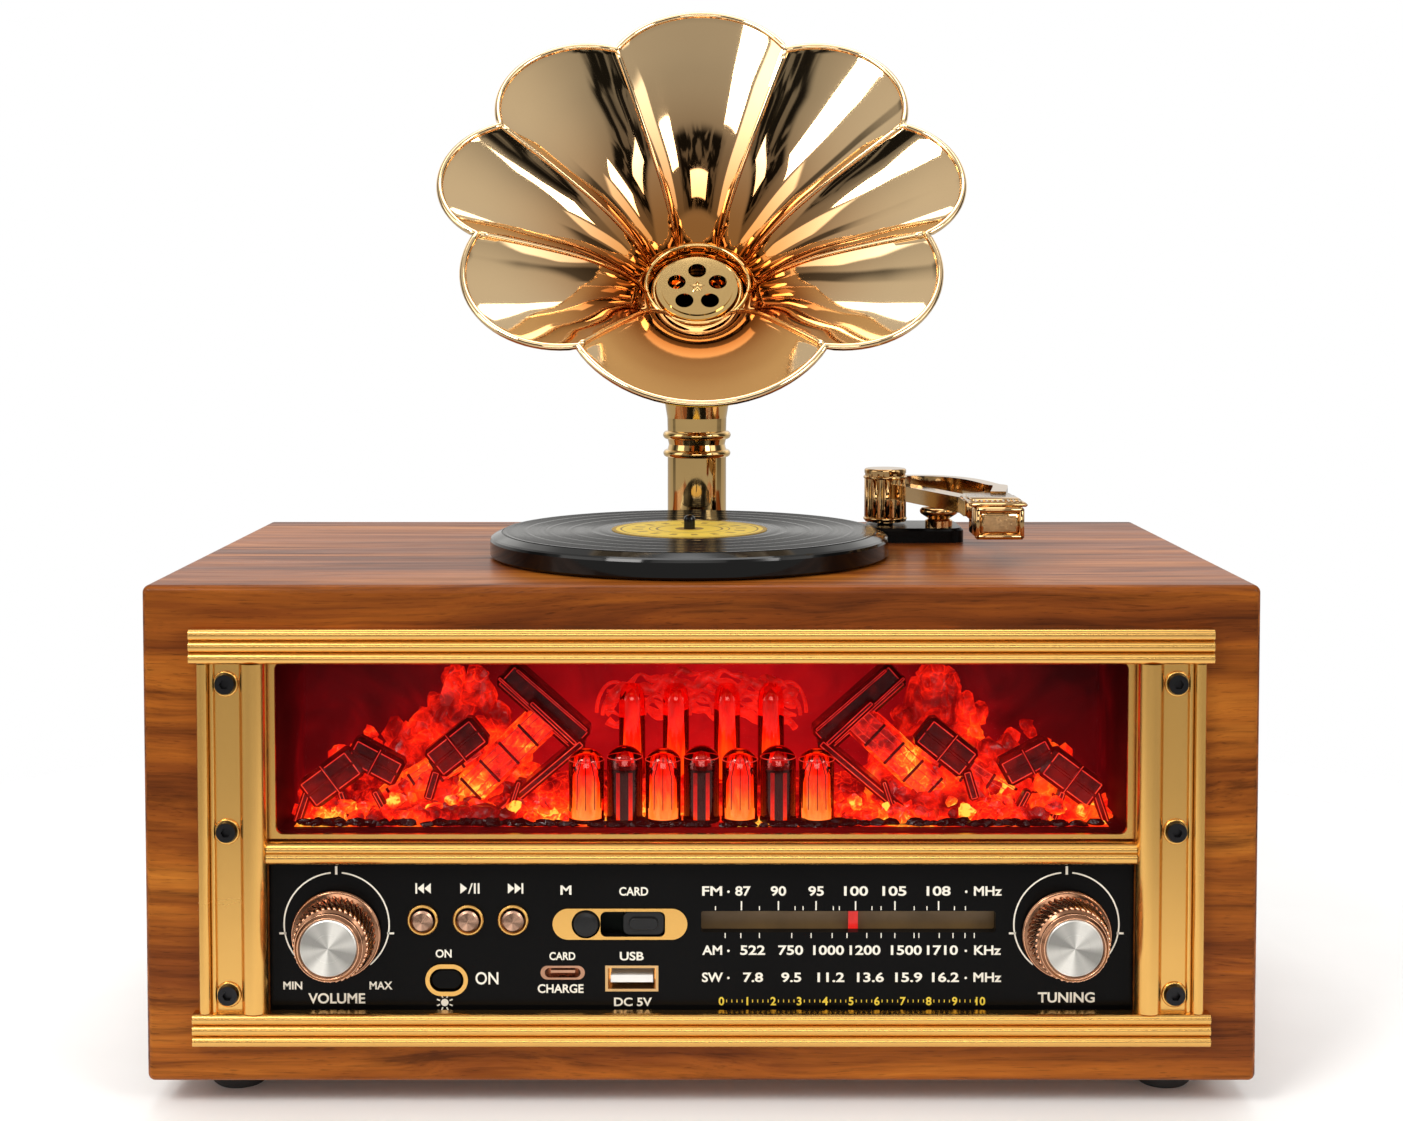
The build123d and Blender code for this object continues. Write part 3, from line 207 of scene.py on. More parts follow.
# ================================================================ materials
def make_wood():
    m = Mat("walnut_veneer")
    nrm = m.sep(m.coord.outputs["Normal"])
    ax = m.math("ABSOLUTE", nrm[0])
    side = m.math("GREATER_THAN", ax, 0.6)
    p = m.sep(m.coord.outputs["Object"])
    comb = m.node("ShaderNodeCombineXYZ")
    m.link(p[1], comb.inputs[0]); m.link(p[0], comb.inputs[1]); m.link(p[2], comb.inputs[2])
    vv = m.node("ShaderNodeMix", data_type="VECTOR")
    m.link(side, vv.inputs[0]); m.link(m.coord.outputs["Object"], vv.inputs[4]); m.link(comb.outputs[0], vv.inputs[5])
    base = vv.outputs[1]
    # slow warp so that the grain lines wander
    warp = m.noise(m.vec((6, 14, 14), src=base), 1.0, 3, 0.5)
    w = m.node("ShaderNodeVectorMath", operation="SCALE")
    offs = m.node("ShaderNodeCombineXYZ")
    wv = m.math("MULTIPLY", m.math("SUBTRACT", warp, 0.5), 0.020)
    m.link(wv, offs.inputs[1]); m.link(wv, offs.inputs[2])
    ad = m.node("ShaderNodeVectorMath", operation="ADD")
    m.link(base, ad.inputs[0]); m.link(offs.outputs[0], ad.inputs[1])
    g = ad.outputs[0]
    figure = m.noise(m.vec((5, 60, 60), src=g), 1.0, 5, 0.6, 0.4)
    streak = m.noise(m.vec((9, 260, 260), (1.3, 0, 0), src=g), 1.0, 6, 0.62, 0.2)
    lines = m.noise(m.vec((16, 900, 900), (3.1, 0, 0), src=g), 1.0, 4, 0.7)
    pores = m.noise(m.vec((150, 2600, 2600), (0.2, 5, 2), src=g), 1.0, 2, 0.6)
    blotch = m.noise(m.vec((3, 7, 7), (7, 1, 0), src=g), 1.0, 2, 0.5)
    c = m.ramp(figure, ((0.28, (0.085, 0.019, 0.0035)), (0.42, (0.205, 0.050, 0.0065)), (0.55, (0.345, 0.096, 0.0105)), (0.74, (0.520, 0.175, 0.021))))
    s = m.ramp(streak, ((0.32, (0.22, 0.18, 0.16)), (0.44, (0.72, 0.68, 0.64)), (0.58, (1.0, 1.0, 1.0)), (0.8, (1.22, 1.18, 1.10))))
    c = m.mix(0.85, c, s, "MULTIPLY")
    ln = m.ramp(lines, ((0.34, 0.55), (0.48, 0.98), (0.7, 1.06)))
    c = m.mix(0.6, c, ln, "MULTIPLY")
    c = m.mix(0.5, c, m.ramp(blotch, ((0.3, 0.72), (0.7, 1.2))), "MULTIPLY")
    pr = m.ramp(pores, ((0.30, 0.30), (0.40, 1.0)))
    c = m.mix(0.55, c, pr, "MULTIPLY")
    m.set("Base Color", c)
    m.set("Roughness", m.maprange(streak, 0.3, 0.7, 0.40, 0.27))
    m.set("Specular IOR Level", 0.09)
    m.set("Coat Weight", 0.05)
    m.set("Coat Roughness", 0.12)
    h = m.math("ADD", m.math("MULTIPLY", lines, 0.5), m.math("MULTIPLY", pores, 0.6))
    m.bump(h, 0.16, 0.00018)
    return m.m


wood = make_wood()
satin_gold = metal("satin_gold", (0.75, 0.430, 0.122), 0.26, 0.012, 0.03, 0.0, 60, (0.2, 1, 1), 0.00001)
horn_gold = metal("polished_gold", (0.76, 0.50, 0.20), 0.045, 0.015, 0.06, 0.01, 26, (1, 1, 1), 0.00001)


def deepen(mat, centre, near, far, shade_colour):
    """Paint shade into a metal's colour: blend it towards a darker one near a point."""
    t = mat.node_tree
    b = next(n for n in t.nodes if n.type == "BSDF_PRINCIPLED")
    src = b.inputs["Base Color"].links[0].from_socket
    co = next(n for n in t.nodes if n.type == "TEX_COORD")
    d = t.nodes.new("ShaderNodeVectorMath")
    d.operation = "DISTANCE"
    d.inputs[1].default_value = centre
    t.links.new(co.outputs["Object"], d.inputs[0])
    r = t.nodes.new("ShaderNodeMapRange")
    r.interpolation_type = "SMOOTHSTEP"
    for i, v in zip((1, 2, 3, 4), (near, far, 1.0, 0.0)):
        r.inputs[i].default_value = v
    t.links.new(d.outputs["Value"], r.inputs[0])
    mx = t.nodes.new("ShaderNodeMix")
    mx.data_type = "RGBA"
    mx.inputs[7].default_value = (*shade_colour, 1)
    t.links.new(r.outputs[0], mx.inputs[0])
    t.links.new(src, mx.inputs[6])
    t.links.new(mx.outputs[2], b.inputs["Base Color"])


bell_gold = metal("bell_gold", (0.90, 0.645, 0.36), 0.042, 0.014, 0.05, 0.0, 26, (1, 1, 1), 0.00001)
# painted shade: the bell's colour darkens towards the throat, where little light gets in
deepen(bell_gold, (-0.0015, 0.0536, 0.2117), 0.022, 0.082, (0.47, 0.195, 0.052))
arm_gold = metal("tonearm_gold", (0.60, 0.375, 0.165), 0.07, 0.03, 0.12, 0.02, 60, (1, 1, 1), 0.00001)
grained_gold = metal("grained_gold", (0.58, 0.38, 0.19), 0.32, 0.06, 0.3, 0.9, 500, (1, 1, 1), 0.0004)
rose_gold = metal("rose_gold", (0.50, 0.27, 0.17), 0.20, 0.05, 0.25, 0.02, 120, (1, 1, 1), 0.00001)
knob_copper = metal("knob_copper", (0.33, 0.165, 0.095), 0.19, 0.04, 0.2, 0.02, 120, (1, 1, 1), 0.00001)
bright_copper = metal("bright_copper", (0.80, 0.45, 0.28), 0.13, 0.03, 0.15, 0.02, 160, (1, 1, 1), 0.00001)
steel = metal("plain_steel", (0.56, 0.56, 0.55), 0.30, 0.08, 0.15, 0.1, 90)
chrome = metal("bright_chrome", (0.80, 0.80, 0.81), 0.09, 0.03, 0.06, 0.02, 60)
black_screw = metal("black_oxide", (0.028, 0.028, 0.030), 0.34, 0.06, 0.2, 0.1, 200)
black_gloss = plastic("black_gloss", (0.0038, 0.0036, 0.0036), 0.20, 0.05, 0.3, 0.02, 60, 0.0, 0.00001, 0.06)
platter_gloss = plastic("platter_gloss", (0.003, 0.003, 0.003), 0.09, 0.03, 0.2, 0.0, 60, 0.0, 0.00001, 0.30)
black_matte = plastic("black_plastic", (0.0085, 0.0085, 0.009), 0.36, 0.08, 0.3, 0.1, 120, 0.0, 0.00003, 0.3)
rubber = plastic("rubber_black", (0.018, 0.018, 0.018), 0.72, 0.08, 0.3, 0.35, 160)
pcb = plastic("solder_mask", (0.004, 0.012, 0.008), 0.40, 0.06, 0.3, 0.1, 200)
hardboard = plastic("dark_hardboard", (0.075, 0.050, 0.034), 0.66, 0.1, 0.35, 0.5, 200, 0, 0.0002)
white_plastic = plastic("white_plastic", (0.82, 0.82, 0.80), 0.30, 0.05, 0.06, 0.05, 100)
cream_ink = plastic("cream_ink", (0.82, 0.78, 0.68), 0.55, 0.06, 0.06, 0.1, 300)
yellow_ink = plastic("yellow_ink", (0.85, 0.62, 0.05), 0.55, 0.06, 0.08, 0.1, 300)
fibre = plastic("cord_fibre", (0.52, 0.46, 0.36), 0.8, 0.05, 0.2, 0.5, 500)
sleeve = plastic("battery_sleeve", (0.03, 0.09, 0.26), 0.25, 0.05, 0.2, 0.1, 100)
dial_bronze = plastic("dial_bronze", (0.20, 0.115, 0.040), 0.45, 0.08, 0.35, 0.2, 260)


def make_red(name, color, emit):
    m = Mat(name, Roughness=0.3)
    n = m.noise(m.vec(), 300, 3)
    m.set("Base Color", m.mix(m.maprange(n, 0.3, 0.7, 0, 1), color, tuple(c * 0.7 for c in color)))
    # painted glow: the part's colour is also given off as light
    m.set("Emission Color", (*color, 1))
    m.set("Emission Strength", emit)
    return m.m


# the dial pointer is painted with a faint glow, though it is no lamp
glowing_red_plastic = make_red("pointer_red_glow", (0.85, 0.015, 0.01), 0.35)


def make_spun(name, color, rough):
    """Turned metal face: fine rings about the part's own axis, with painted highlight and shade wedges round it in the
    base colour.
    """
    m = Mat(name, Metallic=1.0)
    m.set("Anisotropic", 0.85)
    tan = m.node("ShaderNodeTangent", direction_type="RADIAL", axis="Y")
    m.link(tan.outputs[0], m.b.inputs["Tangent"])
    g = m.sep(m.coord.outputs["Generated"])
    dx, dz = m.math("SUBTRACT", g[0], 0.5), m.math("SUBTRACT", g[2], 0.5)
    r = m.math("SQRT", m.math("ADD", m.math("MULTIPLY", dx, dx), m.math("MULTIPLY", dz, dz)))
    comb = m.node("ShaderNodeCombineXYZ")
    m.link(r, comb.inputs[0])
    rings = m.noise(m.vec((1, 1, 1), src=comb.outputs[0]), 120, 3, 0.7)
    # painted highlight and shade: fixed bright and dark wedges round the axis stand in for the conic light sweeps of a
    # turned face
    ang = m.math("ARCTAN2", dz, dx)
    w1 = m.math("SINE", m.math("ADD", m.math("MULTIPLY", ang, 2.0), -0.6))
    w2 = m.math("MULTIPLY", m.math("SINE", m.math("ADD", m.math("MULTIPLY", ang, 6.0), 0.8)), 0.55)
    w = m.maprange(m.math("ADD", w1, w2), -1.2, 1.2, 0, 1)
    painted_sweep = m.ramp(w, ((0.0, 0.42), (0.45, 0.66), (0.75, 0.95), (1.0, 1.15)))
    c = m.mix(m.maprange(rings, 0.3, 0.7, 0, 1), color, tuple(c * 0.80 for c in color))
    m.set("Base Color", m.mix(1.0, c, painted_sweep, "MULTIPLY"))
    m.set("Roughness", m.maprange(rings, 0.3, 0.7, rough - 0.06, rough + 0.08))
    m.bump(rings, 0.25, 0.00004)
    return m.m


spun_steel = make_spun("spun_steel", (0.80, 0.78, 0.73), 0.30)
spun_rose = make_spun("spun_rose", (0.60, 0.36, 0.25), 0.26)


def make_vinyl():
    m = Mat("vinyl_black")
    p = m.sep(m.vec((1, 1, 1), (-REC[0], -REC[1], 0)))
    r = m.math("SQRT", m.math("ADD", m.math("MULTIPLY", p[0], p[0]), m.math("MULTIPLY", p[1], p[1])))
    comb = m.node("ShaderNodeCombineXYZ")
    m.link(r, comb.inputs[0])
    rings = m.noise(m.vec(src=comb.outputs[0]), 2400, 2, 0.6)
    bands = m.noise(m.vec(src=comb.outputs[0]), 330, 2, 0.6)
    m.set("Base Color", m.ramp(bands, ((0.35, (0.003, 0.003, 0.0033)), (0.65, (0.013, 0.013, 0.0135)))))
    m.set("Roughness", m.maprange(bands, 0.3, 0.7, 0.10, 0.20))
    m.set("Specular IOR Level", 0.05)
    m.bump(rings, 0.5, 0.00008)
    return m.m


vinyl = make_vinyl()


def make_label():
    m = Mat("label_paper")
    p = m.sep(m.vec((1, 1, 1), (-REC[0], -REC[1], 0)))
    r = m.math("SQRT", m.math("ADD", m.math("MULTIPLY", p[0], p[0]), m.math("MULTIPLY", p[1], p[1])))
    a = m.math("ARCTAN2", p[1], p[0])
    rr = m.math("MULTIPLY", r, 1 / 0.0226)
    y, d = (0.92, 0.66, 0.06), (0.34, 0.20, 0.025)
    rings = m.ramp(rr, ((0.0, d), (0.16, d), (0.18, y), (0.40, y), (0.405, d), (0.43, d), (0.435, y), (0.50, y), (0.505, d), (0.515, d), (0.52, y), (0.86, y),
                        (0.865, d), (0.885, d), (0.89, y), (0.94, y), (0.945, (0.45, 0.27, 0.02)), (1.0, (0.5, 0.3, 0.02))), "CONSTANT")
    petals = m.math("SINE", m.math("MULTIPLY", a, 16.0))
    band = m.math("MULTIPLY", m.math("GREATER_THAN", petals, 0.55), m.math("MULTIPLY", m.math("GREATER_THAN", rr, 0.60), m.math("LESS_THAN", rr, 0.74)))
    c = m.mix(band, rings, (0.42, 0.25, 0.02))
    fib = m.noise(m.vec(), 900, 4, 0.6)
    c = m.mix(0.4, c, m.ramp(fib, ((0.3, 0.8), (0.7, 1.1))), "MULTIPLY")
    m.set("Base Color", c)
    m.set("Roughness", m.maprange(fib, 0.3, 0.7, 0.42, 0.6))
    m.bump(fib, 0.1, 0.00005)
    return m.m


label_paper = make_label()


def make_pane():
    """Thin clear sheet: lets nearly all light straight through, with a faint gloss and dust."""
    m = Mat("clear_sheet")
    t = m.node("ShaderNodeBsdfTransparent")
    g = m.node("ShaderNodeBsdfGlossy")
    n = m.noise(m.vec(), 90, 4)
    m.link(m.maprange(n, 0.3, 0.7, 0.02, 0.06), g.inputs["Roughness"])
    lw = m.node("ShaderNodeFresnel")
    lw.inputs["IOR"].default_value = 1.035
    mx = m.node("ShaderNodeMixShader")
    m.link(lw.outputs[0], mx.inputs[0]); m.link(t.outputs[0], mx.inputs[1]); m.link(g.outputs[0], mx.inputs[2])
    m.link(mx.outputs[0], m.out.inputs[0])
    m.t.nodes.remove(m.b)
    return m.m


pane = make_pane()


def make_glow(name, stops, strength, scale=260.0, z0=TF, z1=TF + 0.045, base=(0.25, 0.006, 0.004), rough=0.22, mottled=0.55, stretch=(1, 1, 1)):
    """Lit translucent red plastic: colour and strength fall with height above the tray's floor, broken up by noise."""
    m = Mat(name)
    p = m.sep(m.coord.outputs["Object"])
    h = m.maprange(p[2], z0, z1, 0, 1)
    n1 = m.noise(m.vec(stretch), scale, 4, 0.6, 0.6)
    n2 = m.noise(m.vec(stretch, (3, 1, 2)), scale * 2.7, 3, 0.6, 0.3)
    f = m.math("ADD", h, m.math("MULTIPLY", m.math("SUBTRACT", n1, 0.5), mottled * 2))
    f = m.math("ADD", f, m.math("MULTIPLY", m.math("SUBTRACT", n2, 0.5), mottled))
    c = m.ramp(f, stops)
    m.set("Base Color", (*base, 1))
    m.set("Emission Color", c)
    m.set("Emission Strength", strength)
    m.set("Specular IOR Level", 0.16)
    m.set("Roughness", m.maprange(n2, 0.3, 0.7, rough - 0.08, rough + 0.12))
    m.bump(n1, 0.3, 0.0006)
    return m.m


HOT, ORANGE, RED, DEEP, DARK = (1.0, 0.55, 0.06), (1.0, 0.16, 0.008), (0.88, 0.012, 0.004), (0.22, 0.002, 0.002), (0.022, 0.0008, 0.0008)


def make_heat(name, z1, gain, patch=70.0, cell=300.0, strength=1.25, bias=0.0, base=(0.10, 0.003, 0.002), gloss=0.14, caustic_lines=0.5):
    """Lit translucent plastic: patches of heat, broken into cells with painted bright caustic lines along their edges,
    cooling with height.
    """
    m = Mat(name)
    p = m.sep(m.coord.outputs["Object"])
    h = m.maprange(p[2], TF, TF + z1, 1.0, 0.0)
    big = m.maprange(m.noise(m.vec(), patch, 3, 0.5, 0.5), 0.36, 0.66, 0, 1)
    mid = m.noise(m.vec(loc=(3, 1, 2)), patch * 4, 4, 0.62, 0.8)
    vo = m.node("ShaderNodeTexVoronoi", feature="DISTANCE_TO_EDGE")
    vo.inputs["Scale"].default_value = cell
    wv = m.node("ShaderNodeVectorMath", operation="ADD")
    sc = m.node("ShaderNodeCombineXYZ")
    k = m.math("MULTIPLY", m.math("SUBTRACT", mid, 0.5), 0.004)
    m.link(k, sc.inputs[0]); m.link(k, sc.inputs[2])
    m.link(m.coord.outputs["Object"], wv.inputs[0]); m.link(sc.outputs[0], wv.inputs[1])
    m.link(wv.outputs[0], vo.inputs["Vector"])
    # painted light: bright lines along the cell edges stand in for caustics in the crinkled plastic
    edge = m.maprange(vo.outputs["Distance"], 0.0, 0.06, 1.0, 0.0)
    f = m.math("MULTIPLY", m.math("MULTIPLY", h, m.math("ADD", m.math("MULTIPLY", big, 0.85), 0.15)), gain)
    f = m.math("ADD", f, m.math("MULTIPLY", m.math("SUBTRACT", mid, 0.5), 0.9))
    f = m.math("ADD", f, m.math("MULTIPLY", m.math("MULTIPLY", edge, caustic_lines), m.math("ADD", m.math("MULTIPLY", big, 0.5), 0.1)))
    f = m.math("ADD", f, bias)
    m.set("Base Color", (*base, 1))
    m.set("Emission Color", m.ramp(f, ((0.0, DARK), (0.22, DEEP), (0.46, RED), (0.66, (1.0, 0.06, 0.006)), (0.84, ORANGE), (0.98, HOT))))
    m.set("Emission Strength", strength)
    m.set("Specular IOR Level", 0.16)
    m.set("Roughness", m.maprange(mid, 0.3, 0.7, gloss, gloss + 0.14))
    m.bump(mid, 0.35, 0.0007)
    return m.m


ember_mat = make_heat("ember_glow", 0.013, 0.95, 62, 330, 1.2, 0.02)
heap_mat = make_heat("heap_glow", 0.052, 0.72, 48, 240, 1.15, 0.16, caustic_lines=0.35)
log_mat = make_heat("log_glow", 0.050, 1.0, 75, 330, 1.25, 0.14, caustic_lines=0.5)
hot_mat = make_heat("hot_core", 0.026, 1.1, 150, 420, 1.35, 0.16, caustic_lines=0.4)
filament_mat = make_glow("filament_glow", ((0.0, (1.0, 0.72, 0.14)), (0.20, (1.0, 0.42, 0.03)), (0.42, (1.0, 0.10, 0.007)), (0.68, (0.85, 0.014, 0.004)), (1.0, (0.30, 0.004, 0.003))), 1.35, 260, TF + 0.001, TF + 0.021, mottled=0.42, stretch=(1, 1, 0.25))
core_mat = make_glow("core_glow", ((0.0, (1.0, 0.14, 0.01)), (0.25, (0.75, 0.012, 0.004)), (0.6, (0.30, 0.003, 0.002)), (1.0, (0.12, 0.002, 0.002))), 1.0, 190, TF, TF + 0.019, mottled=0.30)
rear_rod_mat = make_glow("rear_rod_glow", ((0.0, (1.0, 0.20, 0.012)), (0.30, (1.0, 0.045, 0.008)), (0.6, (0.75, 0.010, 0.005)), (1.0, (0.26, 0.003, 0.003))), 1.1, 220, TF + 0.014, TF + 0.034, mottled=0.6, stretch=(1, 1, 0.3))
manifold_mat = make_glow("manifold_glow", ((0.0, (0.95, 0.016, 0.008)), (0.5, (0.55, 0.006, 0.005)), (1.0, (0.16, 0.002, 0.002))), 1.0, 170, TF + 0.016, TF + 0.046, mottled=0.9)
smoked_mat = make_glow("smoked_glow", ((0.0, (0.22, 0.003, 0.002)), (0.4, (0.075, 0.0012, 0.0012)), (0.75, (0.018, 0.0006, 0.0006)), (1.0, (0.008, 0.0003, 0.0003))), 0.9, 130, TF, TF + 0.045, (0.022, 0.001, 0.001), 0.14, 0.75)
dark_base_mat = make_glow("dark_base", ((0.0, (0.035, 0.001, 0.001)), (1.0, (0.010, 0.0005, 0.0005))), 0.6, 200, TF, TF + 0.02, (0.012, 0.001, 0.001), 0.18, 0.4)
edge_mat = make_glow("edge_glow", ((0.0, (0.95, 0.05, 0.02)), (0.5, (0.55, 0.010, 0.008)), (1.0, (0.22, 0.004, 0.004))), 1.0, 150, TF, TF + 0.045, (0.2, 0.01, 0.01), 0.1, 0.8)


def make_backdrop():
    m = Mat("backdrop_red", Roughness=0.5)
    # painted glow: the tray gives off light as though lit from behind, brightest low in the middle, with painted shade
    # at the sides and towards the tray's mouth
    p = m.sep(m.coord.outputs["Object"])
    ax = m.math("ABSOLUTE", p[0])
    side = m.maprange(ax, 0.015, 0.100, 1.0, 0.0)
    h = m.maprange(p[2], TF, TF + 0.046, 1.0, 0.0)
    n = m.noise(m.vec((1, 1, 1)), 42, 4, 0.6, 0.8)
    f = m.math("ADD", m.math("MULTIPLY", side, 0.42), m.math("MULTIPLY", h, 0.20))
    f = m.math("ADD", f, m.math("MULTIPLY", m.math("SUBTRACT", n, 0.45), 0.65))
    c = m.ramp(f, ((0.0, (0.016, 0.0006, 0.001)), (0.18, (0.085, 0.001, 0.002)), (0.42, (0.30, 0.002, 0.004)), (0.72, (0.66, 0.005, 0.006)), (1.0, (0.88, 0.010, 0.008))))
    depth = m.maprange(p[1], TRAY_Y0 + 0.012, TRAY_Y0 + 0.036, 0.22, 1.0)
    c = m.mix(1.0, c, depth, "MULTIPLY")
    m.set("Base Color", (0.030, 0.001, 0.001, 1))
    m.set("Specular IOR Level", 0.06)
    m.set("Emission Color", c)
    m.set("Emission Strength", 1.0)
    return m.m


backdrop = make_backdrop()


def make_red_glass():
    """Red glass envelope: tinted light through it, sharp gloss on it."""
    m = Mat("red_envelope")
    t = m.node("ShaderNodeBsdfTransparent")
    t.inputs[0].default_value = (1.0, 0.32, 0.26, 1)
    g = m.node("ShaderNodeBsdfGlossy")
    g.inputs[0].default_value = (1.0, 0.55, 0.5, 1)
    n = m.noise(m.vec(), 200, 3)
    m.link(m.maprange(n, 0.3, 0.7, 0.04, 0.12), g.inputs["Roughness"])
    lw = m.node("ShaderNodeFresnel")
    lw.inputs["IOR"].default_value = 1.6
    mx = m.node("ShaderNodeMixShader")
    m.link(lw.outputs[0], mx.inputs[0]); m.link(t.outputs[0], mx.inputs[1]); m.link(g.outputs[0], mx.inputs[2])
    m.link(mx.outputs[0], m.out.inputs[0])
    m.t.nodes.remove(m.b)
    return m.m


red_glass = make_red_glass()

ASSIGN = {
    "front_baffle": wood, "cabinet_wrap": wood, "rear_panel": hardboard, "cabinet_screws": steel, "rubber_feet": rubber,
    "top_molding": satin_gold, "bottom_molding": satin_gold, "left_pilaster": satin_gold, "right_pilaster": satin_gold,
    "middle_rail": satin_gold, "pilaster_screws": black_screw, "window_bezel": satin_gold, "window_pane": pane, "diorama_tray": backdrop,
    "led_board": pcb, "control_panel": black_gloss, "volume_knob": knob_copper, "tuning_knob": knob_copper, "volume_knob_cap": spun_steel,
    "tuning_knob_cap": spun_steel, "volume_pot": steel, "tuning_drum": white_plastic, "tuning_capacitor": steel, "dial_cord": fibre,
    "dial_plate": dial_bronze, "dial_pointer": glowing_red_plastic, "button_bezels": satin_gold, "previous_button": spun_rose, "play_button": spun_rose,
    "next_button": spun_rose, "mode_plate": satin_gold, "mode_button": black_matte, "band_slider": black_matte, "light_switch": black_gloss,
    "usb_socket": arm_gold, "usb_tongue": white_plastic, "charge_socket": rose_gold, "main_board": pcb, "battery_pack": sleeve,
    "speaker": black_matte, "platter_motor": steel, "platter": platter_gloss, "record_disc": vinyl, "record_label": label_paper,
    "horn_column": horn_gold, "column_nut": steel, "horn_elbow": horn_gold, "horn_bell": horn_gold, "throat_rosette": horn_gold,
    "tonearm_base": black_gloss, "tonearm_rest": arm_gold, "tonearm": arm_gold, "headshell": arm_gold, "antenna_bracket": black_matte,
    "antenna_tube": chrome, "antenna_tip": chrome, "ember_bed": ember_mat, "valve_tubes": red_glass, "transformer_blocks": smoked_mat,
    "coil_boxes": smoked_mat,
}
for name, o in N.items():
    mt = ASSIGN[name]
    if not o.material_slots:
        o.data.materials.append(mt)
    for s in o.material_slots:
        s.material = mt


